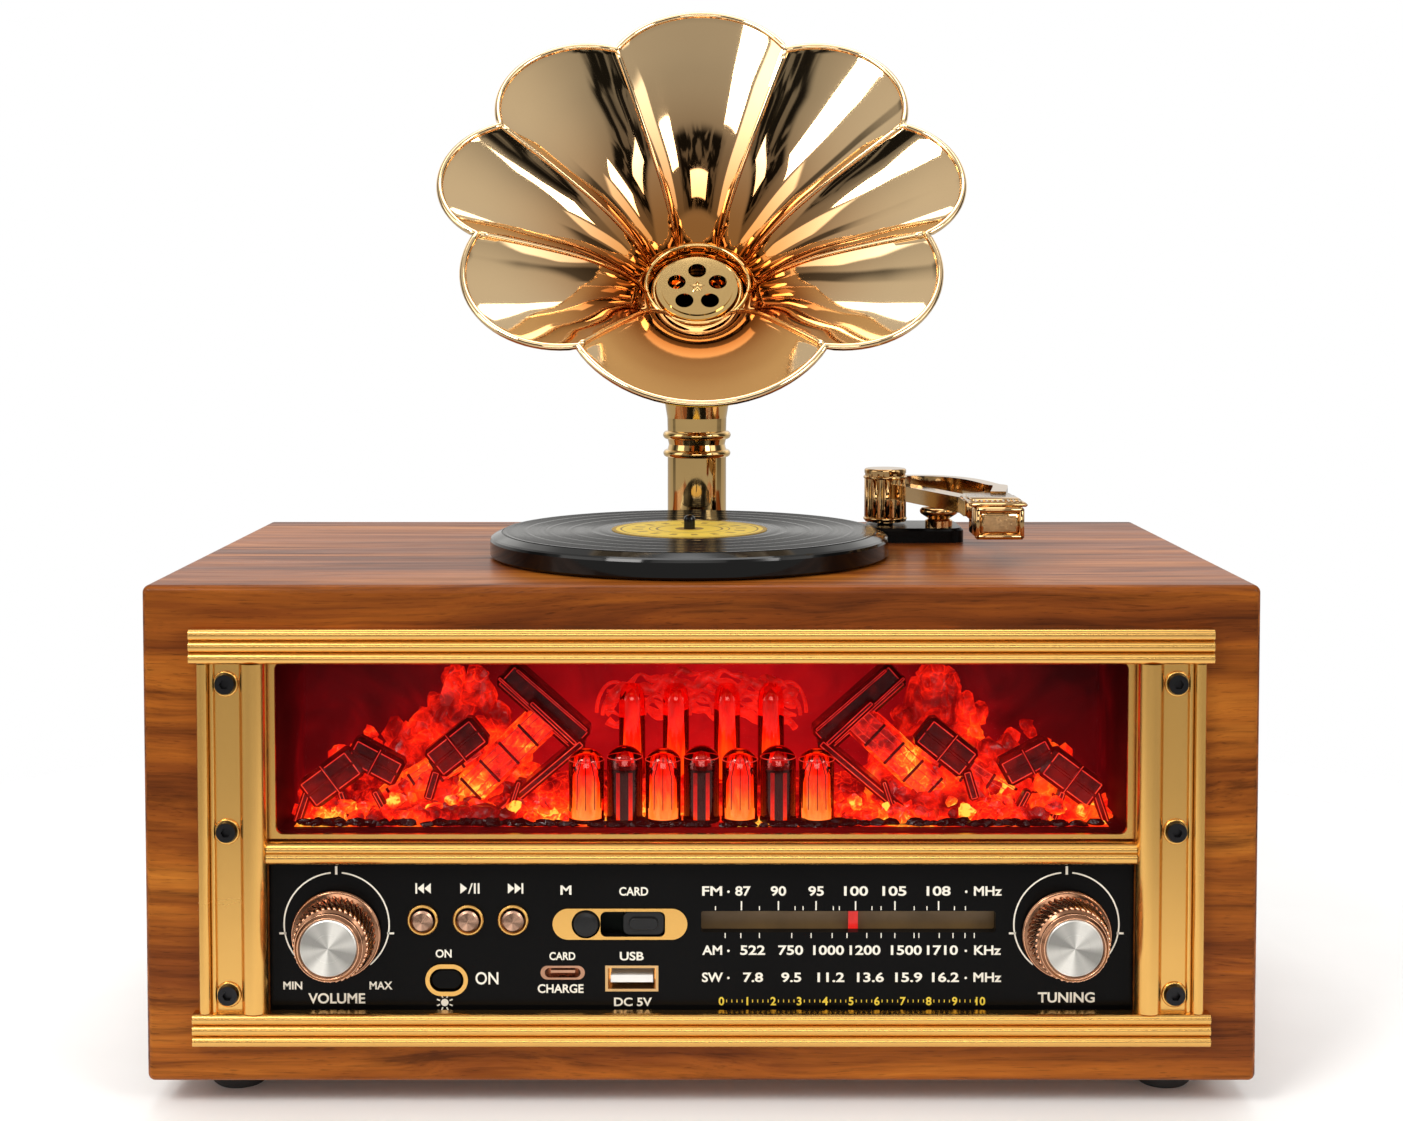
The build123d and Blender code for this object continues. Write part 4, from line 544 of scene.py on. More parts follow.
# ================================================================ mesh helpers
class Shape:
    """Collects vertices and faces for one piece."""

    def __init__(self):
        self.v, self.f = [], []

    def add(self, verts, faces):
        k = len(self.v)
        self.v += [tuple(x) for x in verts]
        self.f += [tuple(i + k for i in f) for f in faces]

    def grid(self, rows, close_u=False, close_v=False, flip=False):
        """rows of equal length, joined into quads."""
        n, m = len(rows), len(rows[0])
        faces = []
        for i in range(n if close_v else n - 1):
            for j in range(m if close_u else m - 1):
                a, b = i * m + j, i * m + (j + 1) % m
                c, d = ((i + 1) % n) * m + (j + 1) % m, ((i + 1) % n) * m + j
                faces.append((d, c, b, a) if flip else (a, b, c, d))
        self.add([p for r in rows for p in r], faces)

    def lathe(self, prof, center, axis="Z", segs=32, flip=False):
        """prof: (radius, height) from bottom to top."""
        rows = []
        for r, h in prof:
            row = []
            for i in range(segs):
                a = 2 * PI * i / segs
                x, y = r * math.cos(a), r * math.sin(a)
                if axis == "Z":
                    row.append((center[0] + x, center[1] + y, center[2] + h))
                elif axis == "Y":
                    row.append((center[0] + x, center[1] + h, center[2] - y))
                else:
                    row.append((center[0] + h, center[1] + x, center[2] + y))
            rows.append(row)
        self.grid(rows, close_u=True, flip=flip)

    def tube(self, pts, r, segs=10, closed=False, up=Vector((0, 0, 1))):
        pts = [Vector(p) for p in pts]
        n = len(pts)
        rows = []
        ref = None
        for i, p in enumerate(pts):
            a = pts[(i - 1) % n] if (closed or i > 0) else p
            b = pts[(i + 1) % n] if (closed or i < n - 1) else p
            t = (b - a).normalized()
            if ref is None:
                ref = t.orthogonal().normalized() if abs(t.dot(up)) > 0.95 else up
            u = (ref - t * ref.dot(t)).normalized()
            ref = u
            w = t.cross(u)
            rr = r(i / max(n - 1, 1)) if callable(r) else r
            rows.append([tuple(p + u * (rr * math.cos(2 * PI * k / segs)) + w * (rr * math.sin(2 * PI * k / segs))) for k in range(segs)])
        self.grid(rows, close_u=True, close_v=closed)
        if not closed:
            k = len(self.v) - n * segs
            self.f.append(tuple(k + j for j in reversed(range(segs))))
            self.f.append(tuple(k + (n - 1) * segs + j for j in range(segs)))

    def box(self, lo, hi, mat=None, bevel=0.0):
        """A box with chamfered edges when bevel is given."""
        (x0, y0, z0), (x1, y1, z1) = lo, hi
        b = bevel
        if b <= 0:
            vs = [(x, y, z) for z in (z0, z1) for y in (y0, y1) for x in (x0, x1)]
            fs = [(0, 2, 3, 1), (4, 5, 7, 6), (0, 1, 5, 4), (2, 6, 7, 3), (0, 4, 6, 2), (1, 3, 7, 5)]
        else:
            vs, idx = [], {}
            for sx in (0, 1):
                for sy in (0, 1):
                    for sz in (0, 1):
                        x, y, z = (x0, x1)[sx], (y0, y1)[sy], (z0, z1)[sz]
                        dx, dy, dz = (b, -b)[sx], (b, -b)[sy], (b, -b)[sz]
                        idx[(sx, sy, sz)] = len(vs)
                        vs += [(x, y + dy, z + dz), (x + dx, y, z + dz), (x + dx, y + dy, z)]
            I = lambda sx, sy, sz, k: idx[(sx, sy, sz)] + k
            fs = [
                (I(0, 0, 0, 0), I(0, 0, 1, 0), I(0, 1, 1, 0), I(0, 1, 0, 0)), (I(1, 0, 0, 0), I(1, 1, 0, 0), I(1, 1, 1, 0), I(1, 0, 1, 0)),
                (I(0, 0, 0, 1), I(1, 0, 0, 1), I(1, 0, 1, 1), I(0, 0, 1, 1)), (I(0, 1, 0, 1), I(0, 1, 1, 1), I(1, 1, 1, 1), I(1, 1, 0, 1)),
                (I(0, 0, 0, 2), I(0, 1, 0, 2), I(1, 1, 0, 2), I(1, 0, 0, 2)), (I(0, 0, 1, 2), I(1, 0, 1, 2), I(1, 1, 1, 2), I(0, 1, 1, 2)),
            ]
            for sy in (0, 1):
                for sz in (0, 1):
                    q = [I(0, sy, sz, 1), I(1, sy, sz, 1), I(1, sy, sz, 2), I(0, sy, sz, 2)]
                    fs.append(tuple(q if (sy + sz) % 2 else reversed(q)))
            for sx in (0, 1):
                for sz in (0, 1):
                    q = [I(sx, 0, sz, 0), I(sx, 1, sz, 0), I(sx, 1, sz, 2), I(sx, 0, sz, 2)]
                    fs.append(tuple(reversed(q) if (sx + sz) % 2 else q))
            for sx in (0, 1):
                for sy in (0, 1):
                    q = [I(sx, sy, 0, 0), I(sx, sy, 1, 0), I(sx, sy, 1, 1), I(sx, sy, 0, 1)]
                    fs.append(tuple(q if (sx + sy) % 2 else reversed(q)))
            for sx in (0, 1):
                for sy in (0, 1):
                    for sz in (0, 1):
                        q = [I(sx, sy, sz, 0), I(sx, sy, sz, 1), I(sx, sy, sz, 2)]
                        fs.append(tuple(q if (sx + sy + sz) % 2 else reversed(q)))
        if mat is not None:
            vs = [tuple(mat @ Vector(v)) for v in vs]
        self.add(vs, fs)

    def lump(self, c, r, rng, squash=(1, 1, 1), rough=0.35, sub=2):
        """A broken lump: a subdivided icosahedron pushed about by noise, flattened on random planes."""
        t = (1 + 5 ** 0.5) / 2
        vs = [Vector(p).normalized() for p in ((-1, t, 0), (1, t, 0), (-1, -t, 0), (1, -t, 0), (0, -1, t), (0, 1, t), (0, -1, -t), (0, 1, -t), (t, 0, -1), (t, 0, 1), (-t, 0, -1), (-t, 0, 1))]
        fs = [(0, 11, 5), (0, 5, 1), (0, 1, 7), (0, 7, 10), (0, 10, 11), (1, 5, 9), (5, 11, 4), (11, 10, 2), (10, 7, 6), (7, 1, 8), (3, 9, 4), (3, 4, 2), (3, 2, 6), (3, 6, 8), (3, 8, 9), (4, 9, 5), (2, 4, 11), (6, 2, 10), (8, 6, 7), (9, 8, 1)]
        for _ in range(sub - 1):
            cache, nf = {}, []
            for a, b, cc in fs:
                ids = []
                for i, j in ((a, b), (b, cc), (cc, a)):
                    k = (min(i, j), max(i, j))
                    if k not in cache:
                        cache[k] = len(vs)
                        vs.append(((vs[i] + vs[j]) / 2).normalized())
                    ids.append(cache[k])
                nf += [(a, ids[0], ids[2]), (b, ids[1], ids[0]), (cc, ids[2], ids[1]), tuple(ids)]
            fs = nf
        off = Vector((rng.random() * 50, rng.random() * 50, rng.random() * 50))
        cuts = [(Vector((rng.uniform(-1, 1), rng.uniform(-1, 1), rng.uniform(-1, 1))).normalized(), rng.uniform(0.55, 0.85)) for _ in range(6)]
        out = []
        for v in vs:
            d = 1 + rough * noise.noise(v * 1.7 + off)
            p = v * d
            for nrm, k in cuts:
                e = p.dot(nrm) - k
                if e > 0:
                    p = p - nrm * e
            out.append((c[0] + p.x * r * squash[0], c[1] + p.y * r * squash[1], c[2] + p.z * r * squash[2]))
        self.add(out, fs)


def piece(name, shape, mat, body="cabinet", smooth=True, angle=None):
    me = bpy.data.meshes.new(name)
    me.from_pydata(shape.v, [], shape.f)
    me.validate()
    me.update()
    o = bpy.data.objects.new(name, me)
    scene.collection.objects.link(o)
    me.materials.append(mat)
    for p in me.polygons:
        p.use_smooth = smooth
    if angle is not None:
        me.shade_smooth() if hasattr(me, "shade_smooth") else None
        me.set_sharp_from_angle(angle=angle)
    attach(o, body)
    return o


# ================================================================ printed lettering and marks on the panel
PX = 535.0 / 2050.0 * MM


def pxx(px):
    return (px - 702.0) * PX


def pxz(py):
    return 0.215 - (py - 286.0) * PX


INK_Y = PANEL - 0.00006
_probe = {}


def text_mesh(body, cap, x, z, align="CENTER", width=None, bold=0.022):
    """Letters as a thin raised film: returns (verts, faces) with capitals of height cap, centred on x and z."""
    cu = bpy.data.curves.new("t", "FONT")
    cu.body = body
    cu.size = 1.0
    cu.offset = bold
    cu.extrude = 0.0
    cu.resolution_u = 4
    ob = bpy.data.objects.new("t", cu)
    scene.collection.objects.link(ob)
    bpy.context.view_layer.update()
    me = bpy.data.meshes.new_from_object(ob.evaluated_get(bpy.context.evaluated_depsgraph_get()))
    vs = [tuple(v.co) for v in me.vertices]
    fs = [tuple(p.vertices) for p in me.polygons]
    bpy.data.objects.remove(ob)
    bpy.data.curves.remove(cu)
    bpy.data.meshes.remove(me)
    if "H" not in _probe and body != "H":
        hv, _ = text_mesh("H", None, 0, 0, bold=0.022)
        _probe["H"] = max(v[1] for v in hv) - min(v[1] for v in hv)
    if cap is None:
        return vs, fs
    k = cap / _probe["H"]
    xs = [v[0] for v in vs]
    w = (max(xs) - min(xs)) * k
    kx = k if width is None else k * width / w
    w = (max(xs) - min(xs)) * kx
    x0 = {"CENTER": x - w / 2, "LEFT": x, "RIGHT": x - w}[align]
    out = [(x0 + (v[0] - min(xs)) * kx, INK_Y, z - cap / 2 + v[1] * k) for v in vs]
    return out, fs


ink = Shape()


def ink_text(s, cx, cy, cap_px=9.6, width_px=None, target=None, bold=0.022):
    v, f = text_mesh(s, cap_px * PX, pxx(cx), pxz(cy), "CENTER", width_px * PX if width_px else None, bold)
    (target or ink).add(v, f)


def ink_poly(pts, target=None):
    """Filled polygon given in photo pixels, counted anticlockwise on the panel as seen."""
    vs = [(pxx(a), INK_Y, pxz(b)) for a, b in pts]
    (target or ink).add(vs, [tuple(range(len(vs)))])


def ink_rect(x0, y0, x1, y1, target=None):
    ink_poly(((x0, y1), (x1, y1), (x1, y0), (x0, y0)), target)


def ink_disc(cx, cy, r, target=None, segs=14):
    ink_poly([(cx + r * math.cos(2 * PI * i / segs), cy - r * math.sin(2 * PI * i / segs)) for i in range(segs)], target)


def ink_arc(cx, cy, r, w, a0, a1, segs=60, target=None):
    """Arc band, angles in degrees clockwise from the top."""
    rows = []
    for rr in (r - w / 2, r + w / 2):
        rows.append([(pxx(cx + rr * math.sin(math.radians(a0 + (a1 - a0) * i / segs))), INK_Y, pxz(cy - rr * math.cos(math.radians(a0 + (a1 - a0) * i / segs)))) for i in range(segs + 1)])
    (target or ink).grid(rows, flip=True)


def build_ink():
    # dial rows
    ink_text("FM", 712.7, 891, 9.6, 20)
    ink_disc(729, 892, 1.3)
    for s, x in (("87", 743.5), ("90", 779), ("95", 816.7), ("100", 856.7), ("105", 895.1), ("108", 939.4)):
        ink_text(s, x, 891, 9.6, 15.5 if len(s) == 2 else 24)
    ink_disc(967, 892, 1.3)
    ink_text("MHz", 988.7, 891, 9.6, 28)
    ink_text("AM", 712.7, 951, 9.6, 20)
    ink_disc(729, 952, 1.3)
    for s, x in (("522", 753.3), ("750", 791.4), ("1000", 829.4), ("1200", 865.9), ("1500", 907.3), ("1710", 943.5)):
        ink_text(s, x, 951, 9.6, 25 if len(s) == 3 else 31)
    ink_disc(967, 952, 1.3)
    ink_text("KHz", 988.7, 951, 9.6, 27)
    ink_text("SW", 713, 978.6, 9.6, 21)
    ink_disc(729, 979.5, 1.3)
    for s, x in (("7.8", 753.7), ("9.5", 792), ("11.2", 831.8), ("13.6", 871.4), ("15.9", 909.8), ("16.2", 946.7)):
        ink_text(s, x, 978.6, 9.6, 20 if len(s) == 3 else 27)
    ink_disc(967, 979.5, 1.3)
    ink_text("MHz", 988.7, 978.6, 9.6, 28)
    for x in (742, 779, 816.7, 856.3, 895.7, 939.4):
        ink_rect(x - 0.7, 901.6, x + 0.7, 910.8)
    for x in (716, 760, 795.7, 803.7, 834, 840, 872.7, 881.8, 915, 927.8, 955.3, 966.3):
        ink_rect(x - 0.5, 906.7, x + 0.5, 910.8)
    for x in (725.7, 741.4, 760, 792.4, 811.8, 832.9, 847.8, 867.6, 882, 895.7, 915, 919.8, 940.2, 954, 966, 975.3):
        ink_rect(x - 0.5, 933.9, x + 0.5, 939)
    # knob scales
    for cx in (336.5, 1067.5):
        cy = 925.2
        ink_arc(cx, cy, 52.6, 1.5, -141, -6)
        ink_arc(cx, cy, 52.6, 1.5, 6, 141)
        ink_rect(cx - 1.2, cy - 59.0, cx + 1.2, cy - 50.5)
        for sx in (-1, 1):
            ink_rect(min(cx + sx * 50.5, cx + sx * 57.5), cy + 8.0, max(cx + sx * 50.5, cx + sx * 57.5), cy + 10.0)
    ink_text("MIN", 292, 987, 8.0, 19)
    ink_text("MAX", 380.5, 987, 8.0, 23)
    ink_text("VOLUME", 336, 1000, 10.4, 57)
    ink_text("TUNING", 1068, 999, 10.4, 57)
    # key symbols
    y0, y1, ym = 883.4, 894.0, 888.7
    ink_rect(415.6, y0, 417.4, y1)
    ink_poly(((417.8, ym), (424.2, y1), (424.2, y0)))
    ink_poly(((424.6, ym), (431.0, y1), (431.0, y0)))
    ink_poly(((460.6, y1), (467.4, ym), (460.6, y0)))
    ink_poly(((468.2, y1), (469.6, y1), (473.2, y0), (471.8, y0)))
    ink_rect(474.2, y0, 476.0, y1)
    ink_rect(478.0, y0, 479.8, y1)
    ink_poly(((508.2, y1), (514.6, ym), (508.2, y0)))
    ink_poly(((515.0, y1), (521.4, ym), (515.0, y0)))
    ink_rect(521.8, y0, 523.6, y1)
    ink_text("M", 566.3, 890.1, 9.4, 11)
    ink_text("CARD", 634.1, 891.4, 8.6, 29)
    ink_text("ON", 443.5, 954.5, 8.2, 16)
    ink_text("ON", 486.8, 979.5, 12.8, 23, None, 0.012)
    # lamp symbol
    ink_disc(444.4, 1004.5, 3.8)
    for k in range(8):
        a = PI / 8 + k * PI / 4
        c, s = math.cos(a), math.sin(a)
        p = [(444.4 + c * r - s * w, 1004.5 - (s * r + c * w)) for r, w in ((5.2, -0.7), (8.4, -0.7), (8.4, 0.7), (5.2, 0.7))]
        ink_poly(p)
    ink_text("CARD", 562.5, 957.1, 8.0, 26)
    ink_text("CHARGE", 560.7, 990.1, 8.8, 46)
    ink_text("USB", 632.1, 957.1, 8.6, 24)
    ink_text("DC 5V", 633.2, 1003.6, 8.6, 38)
    return piece("panel_lettering", ink, cream_ink)


build_ink()

# a plain 0 to 10 logging scale in yellow along the panel's foot
scale_ink = Shape()
for i in range(11):
    x = 722.0 + i * 26.0
    ink_text(str(i), x, 1002.9, 8.4, None, scale_ink)
    if i < 10:
        for k in range(1, 5):
            ink_rect(x + 26.0 * k / 5 - 0.4, 1001.5 if k != 0 else 999, x + 26.0 * k / 5 + 0.4, 1004.5, scale_ink)
piece("logging_scale", scale_ink, yellow_ink)

# ================================================================ horn
COLX = -1.5
ct, st = math.cos(math.radians(40.0)), math.sin(math.radians(40.0))
BEND_R = 16.0
MOUTH_Y, MOUTH_Z = FRONT / MM + 89.0, ZT / MM + 106.1
end_y = COL[1] / MM - BEND_R * (1 - math.cos(math.radians(50.0)))
S_END = (end_y - MOUTH_Y) / ct
NOTCHES = (23.4, 65.2, 103.9, 149.3)
RIM = [-a for a in reversed(NOTCHES)] + list(NOTCHES)
# distance behind the mouth, notch radius, crown radius
SECT = [(S_END, 14.5, 14.8), (S_END - 7.0, 17.0, 17.8), (S_END - 17.0, 23.3, 26.9), (S_END - 29.0, 35.8, 42.6), (S_END - 41.0, 54.2, 64.0), (0.0, 69.1, 80.0)]


def hermite(xs, ys, x):
    """Smooth curve through the points, with slopes from the neighbours."""
    n = len(xs)
    i = max(k for k in range(n - 1) if x <= xs[k] + 1e-9 or k == 0)
    i = 0
    for k in range(n - 1):
        if xs[k] >= x >= xs[k + 1]:
            i = k
            break

    def slope(k):
        if k == 0:
            return (ys[1] - ys[0]) / (xs[1] - xs[0])
        if k == n - 1:
            return (ys[-1] - ys[-2]) / (xs[-1] - xs[-2])
        return (ys[k + 1] - ys[k - 1]) / (xs[k + 1] - xs[k - 1])

    h = xs[i + 1] - xs[i]
    t = (x - xs[i]) / h
    m0, m1 = slope(i) * h, slope(i + 1) * h
    return (2 * t ** 3 - 3 * t * t + 1) * ys[i] + (t ** 3 - 2 * t * t + t) * m0 + (-2 * t ** 3 + 3 * t * t) * ys[i + 1] + (t ** 3 - t * t) * m1


def arc_points(p0, pm, p2, n):
    """n points from p0 up to, not including, p2 on the circle through the three."""
    ax, ay, bx, by, cx, cy = *p0, *pm, *p2
    d = 2 * (ax * (by - cy) + bx * (cy - ay) + cx * (ay - by))
    ux = ((ax * ax + ay * ay) * (by - cy) + (bx * bx + by * by) * (cy - ay) + (cx * cx + cy * cy) * (ay - by)) / d
    uy = ((ax * ax + ay * ay) * (cx - bx) + (bx * bx + by * by) * (ax - cx) + (cx * cx + cy * cy) * (bx - ax)) / d
    a0, am, a2 = (math.atan2(p[1] - uy, p[0] - ux) for p in (p0, pm, p2))
    r = math.hypot(ax - ux, ay - uy)
    while am - a0 > PI:
        am -= 2 * PI
    while am - a0 < -PI:
        am += 2 * PI
    while a2 - am > PI:
        a2 -= 2 * PI
    while a2 - am < -PI:
        a2 += 2 * PI
    return [(ux + r * math.cos(a0 + (a2 - a0) * i / n), uy + r * math.sin(a0 + (a2 - a0) * i / n)) for i in range(n)]


def horn_point(x, y, s):
    k = s / S_END
    return ((COLX * k + x) * MM, (MOUTH_Y + s * ct + y * st) * MM, (MOUTH_Z - s * st + y * ct) * MM)


def horn_ring(s, inset=0.0, segs=22, lift=0.0):
    xs = [q[0] for q in SECT]
    rn = hermite(xs, [q[1] for q in SECT], s) - inset
    rp = hermite(xs, [q[2] for q in SECT], s) - inset
    pts, notch = [], []
    for i in range(8):
        a0, a1 = RIM[i], RIM[(i + 1) % 8]
        if a1 < a0:
            a1 += 360.0
        am = (a0 + a1) / 2
        p = [(r * math.sin(math.radians(a)), r * math.cos(math.radians(a))) for r, a in ((rn, a0), (rp, am), (rn, a1))]
        seg = arc_points(p[0], p[1], p[2], segs)
        notch.append(len(pts))
        pts += seg
    return [horn_point(x, y, s + lift) for x, y in pts], notch


def build_horn():
    sh = Shape()
    steps = 46
    ss = [S_END * (1 - (i / steps)) for i in range(steps + 1)]
    outer = [horn_ring(s)[0] for s in ss]
    inner = [horn_ring(s, 1.0)[0] for s in ss[1:]]
    back, notch = horn_ring(S_END - 1.2, 1.0)
    m = len(outer[0])
    # outer skin, rim, inner skin, throat plate: one closed shell
    rows = outer + [horn_ring(0.0, 0.5, lift=-0.35)[0]] + list(reversed(inner)) + [back]
    c1 = Vector(horn_point(0, 0, S_END - 1.2))
    for k in (0.8, 0.62):
        rows.append([tuple(c1 + (Vector(p) - c1) * k) for p in back])
    c0 = Vector(horn_point(0, 0, S_END))
    ring0 = outer[0]
    rows.append([tuple(c0 + (Vector(p) - c0) * 0.62) for p in ring0])
    rows.append([tuple(c0 + (Vector(p) - c0) * 0.8) for p in ring0])
    sh.grid(rows, close_u=True, close_v=True)
    o = piece("horn_petals", sh, bell_gold, angle=math.radians(50))
    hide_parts("horn_bell")
    # rolled rim
    rim = Shape()
    ring, nt = horn_ring(0.0, 0.5, 26)
    rim.tube(ring, 1.05 * MM, 12, closed=True, up=Vector((0, -ct, st)))
    piece("horn_rim", rim, bell_gold)
    # raised seams between the petals, inside and out
    ribs = Shape()
    for i in range(8):
        pts_in, pts_out = [], []
        for k in range(34):
            s = (S_END - 5.0) * (1 - k / 33.0)
            ri, nt = horn_ring(s, 1.15)
            ro, nt = horn_ring(s, -0.05)
            pts_in.append(ri[nt[i]])
            pts_out.append(ro[nt[i]])
        ribs.tube(pts_in, lambda t: (0.45 + 0.45 * t) * MM, 8)
        ribs.tube(pts_out, lambda t: (0.4 + 0.3 * t) * MM, 8)
    piece("horn_seams", ribs, bell_gold)
    # beads at the throat
    th = Shape()
    for s, r, w in ((S_END - 4.2, 13.9, 0.9), (S_END - 8.0, 16.4, 0.7)):
        th.tube([horn_point(r * math.sin(2 * PI * i / 64), r * math.cos(2 * PI * i / 64), s) for i in range(64)], w * MM, 8, closed=True, up=Vector((0, -ct, st)))
    # five-pointed boss in the middle of the rosette
    c = [horn_point(0, 0, S_END - 7.6)]
    for i in range(10):
        r = 3.0 if i % 2 == 0 else 1.4
        c.append(horn_point(r * math.sin(2 * PI * i / 10), r * math.cos(2 * PI * i / 10), S_END - 6.2))
    th.add(c, [(0, 1 + (i + 1) % 10, 1 + i) for i in range(10)])
    piece("throat_beads", th, horn_gold)


build_horn()


# ================================================================ record
def build_record():
    sh = Shape()
    z = ZT + 0.0074
    prof = [(0.0018, z - 0.0018), (0.0543, z - 0.0018), (0.0543, z - 0.0003), (0.0540, z)]
    r = 0.0532
    k = 0
    while r > 0.0292:
        gap = k % 13 == 12
        prof.append((r, z))
        if not gap:
            prof.append((r - 0.00022, z - 0.00007))
            r -= 0.00044
        else:
            prof.append((r - 0.0008, z))
            r -= 0.0011
        k += 1
    prof += [(0.0288, z), (0.0284, z - 0.00012), (0.0262, z - 0.00012), (0.0258, z), (0.0235, z), (0.0018, z), (0.0018, z - 0.0018)]
    sh.lathe(prof, (REC[0], REC[1], 0), "Z", 180)
    o = piece("grooved_record", sh, vinyl, "record", angle=math.radians(40))
    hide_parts("record_disc")


build_record()


# ================================================================ the glowing valve scene
def to_tray(px, py, z=555.0):
    """Photo pixel to (x, z) on the plane z mm from the camera."""
    k = z / 2050.0
    return (px - 702.0) * k * MM, 0.215 - (py - 286.0) * k * MM


def bed_z(y):
    pts = ((3, 0.8), (15, 1.2), (22, 6.0), (34, 9.0))
    for (a, za), (b, zb) in zip(pts, pts[1:]):
        if a <= y <= b:
            return TF + (za + (zb - za) * (y - a) / (b - a)) * MM
    return TF + 9.0 * MM


def at(px, py, y, sx=-1):
    """Photo pixel of the left half at depth y behind the tray's mouth; sx=1 mirrors it to the right half."""
    k = (537.4 + y) / 2050.0
    x = (px - 702.0) * k * MM
    return Vector((x if sx < 0 else -x, TRAY_Y0 + y * MM, 0.215 - (py - 286.0) * k * MM))


TUBES = (-30.6, -20.4, -10.2, 0.0, 10.2, 20.4, 30.6)
TUBE_Y = 8.2


def build_embers():
    rng = random.Random(4)
    bed, front, hot = Shape(), Shape(), Shape()
    rows = []
    for i in range(16):
        y = 3.2 + 30.5 * i / 15
        row = []
        for j in range(170):
            x = -107.5 + 215.0 * j / 169
            h = bed_z(min(max(y, 3), 34)) - 0.0004 + 0.0012 * (noise.noise(Vector((x * 0.28, y * 0.3, 3.0))) + 0.5 * noise.noise(Vector((x * 0.7, y * 0.7, 9.0)))) - 0.0006
            row.append((x * MM, TRAY_Y0 + y * MM, max(h, TF + 0.0002)))
        rows.append(row)
    bed.grid(rows)
    for _ in range(430):
        x, y, r = rng.uniform(-104, 104), rng.uniform(7, 24), rng.uniform(1.4, 3.4)
        if abs(x) < 36 and y < 15:
            if min(abs(x - t) for t in TUBES) < 4.2 + r * 0.4:
                continue
            r = min(r, 1.6)
        bed.lump((x * MM, TRAY_Y0 + y * MM, bed_z(y) + r * 0.3 * MM), r * MM, rng, (1.15, 1, 0.95), 0.5, 2)
    o = piece("ember_lumps", bed, ember_mat, angle=math.radians(28))
    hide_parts("ember_bed")
    for _ in range(210):
        x, y, r = rng.uniform(-105, 105), rng.uniform(4.0, 6.0), rng.uniform(1.0, 1.9)
        if abs(x) < 36 and min(abs(x - t) for t in TUBES) < 4.5:
            y, r = 3.7, min(r, 1.1)
        front.lump((x * MM, TRAY_Y0 + y * MM, TF + r * 0.35 * MM), r * MM, rng, (1.5, 0.8, 0.8), 0.4, 2)
    piece("ash_lumps", front, dark_base_mat, angle=math.radians(28))
    for sx in (-1, 1):
        for px, py, r in ((321, 812, 2.3), (347, 806, 2.6), (356, 819, 1.8), (395, 800, 2.0), (412, 818, 1.9), (437, 812, 2.6), (452, 800, 1.7), (500, 818, 2.2), (514, 806, 1.8), (533, 817, 2.0), (548, 802, 2.0), (556, 819, 1.7)):
            c = at(px, py, 8.5 + rng.random() * 2, sx)
            hot.lump(tuple(c), r * MM, rng, (1.1, 0.6, 1.0), 0.6, 3)
    piece("hot_cores", hot, hot_mat, angle=math.radians(35))
    heap = Shape()
    for sx in (-1, 1):
        for k in range(150):
            u = rng.random()
            px = 300 + 265 * u
            crest = 800 - 92 * math.sin(PI * min(1.0, u * 1.02)) ** 0.8
            py = rng.uniform(crest, 826)
            y = 30 - 19 * (py - crest) / max(828 - crest, 8) + rng.uniform(-1.5, 1.5)
            r = rng.uniform(1.8, 4.3)
            heap.lump(tuple(at(px, py, min(max(y, 12), 33.5 - r), sx)), r * MM, rng, (1.1, 0.8, 1.2), 0.6, 2)
        # tall glassy lumps behind the upper beam
        for px, py, r, st in ((438, 712, 3.6, 1.7), (452, 694, 3.8, 1.9), (470, 690, 4.2, 1.9), (488, 700, 3.6, 1.8), (500, 716, 3.4, 1.5), (455, 676, 3.2, 1.1), (477, 674, 3.4, 1.0), (462, 720, 4.6, 1.4), (484, 738, 4.4, 1.3), (512, 742, 3.4, 1.3), (430, 738, 3.4, 1.4), (445, 758, 4.0, 1.3), (470, 765, 4.4, 1.2), (500, 770, 4.0, 1.2)):
            z_top = 0.0405
            c = at(px, py, 27.5, sx)
            rr = min(r, (TF + z_top + 0.0005 - c.z) / st / MM * 1.05)
            heap.lump(tuple(c), max(rr, 1.6) * MM, rng, (0.95, 0.85, st), 0.5, 3)
    piece("glow_heaps", heap, heap_mat, angle=math.radians(30))


build_embers()


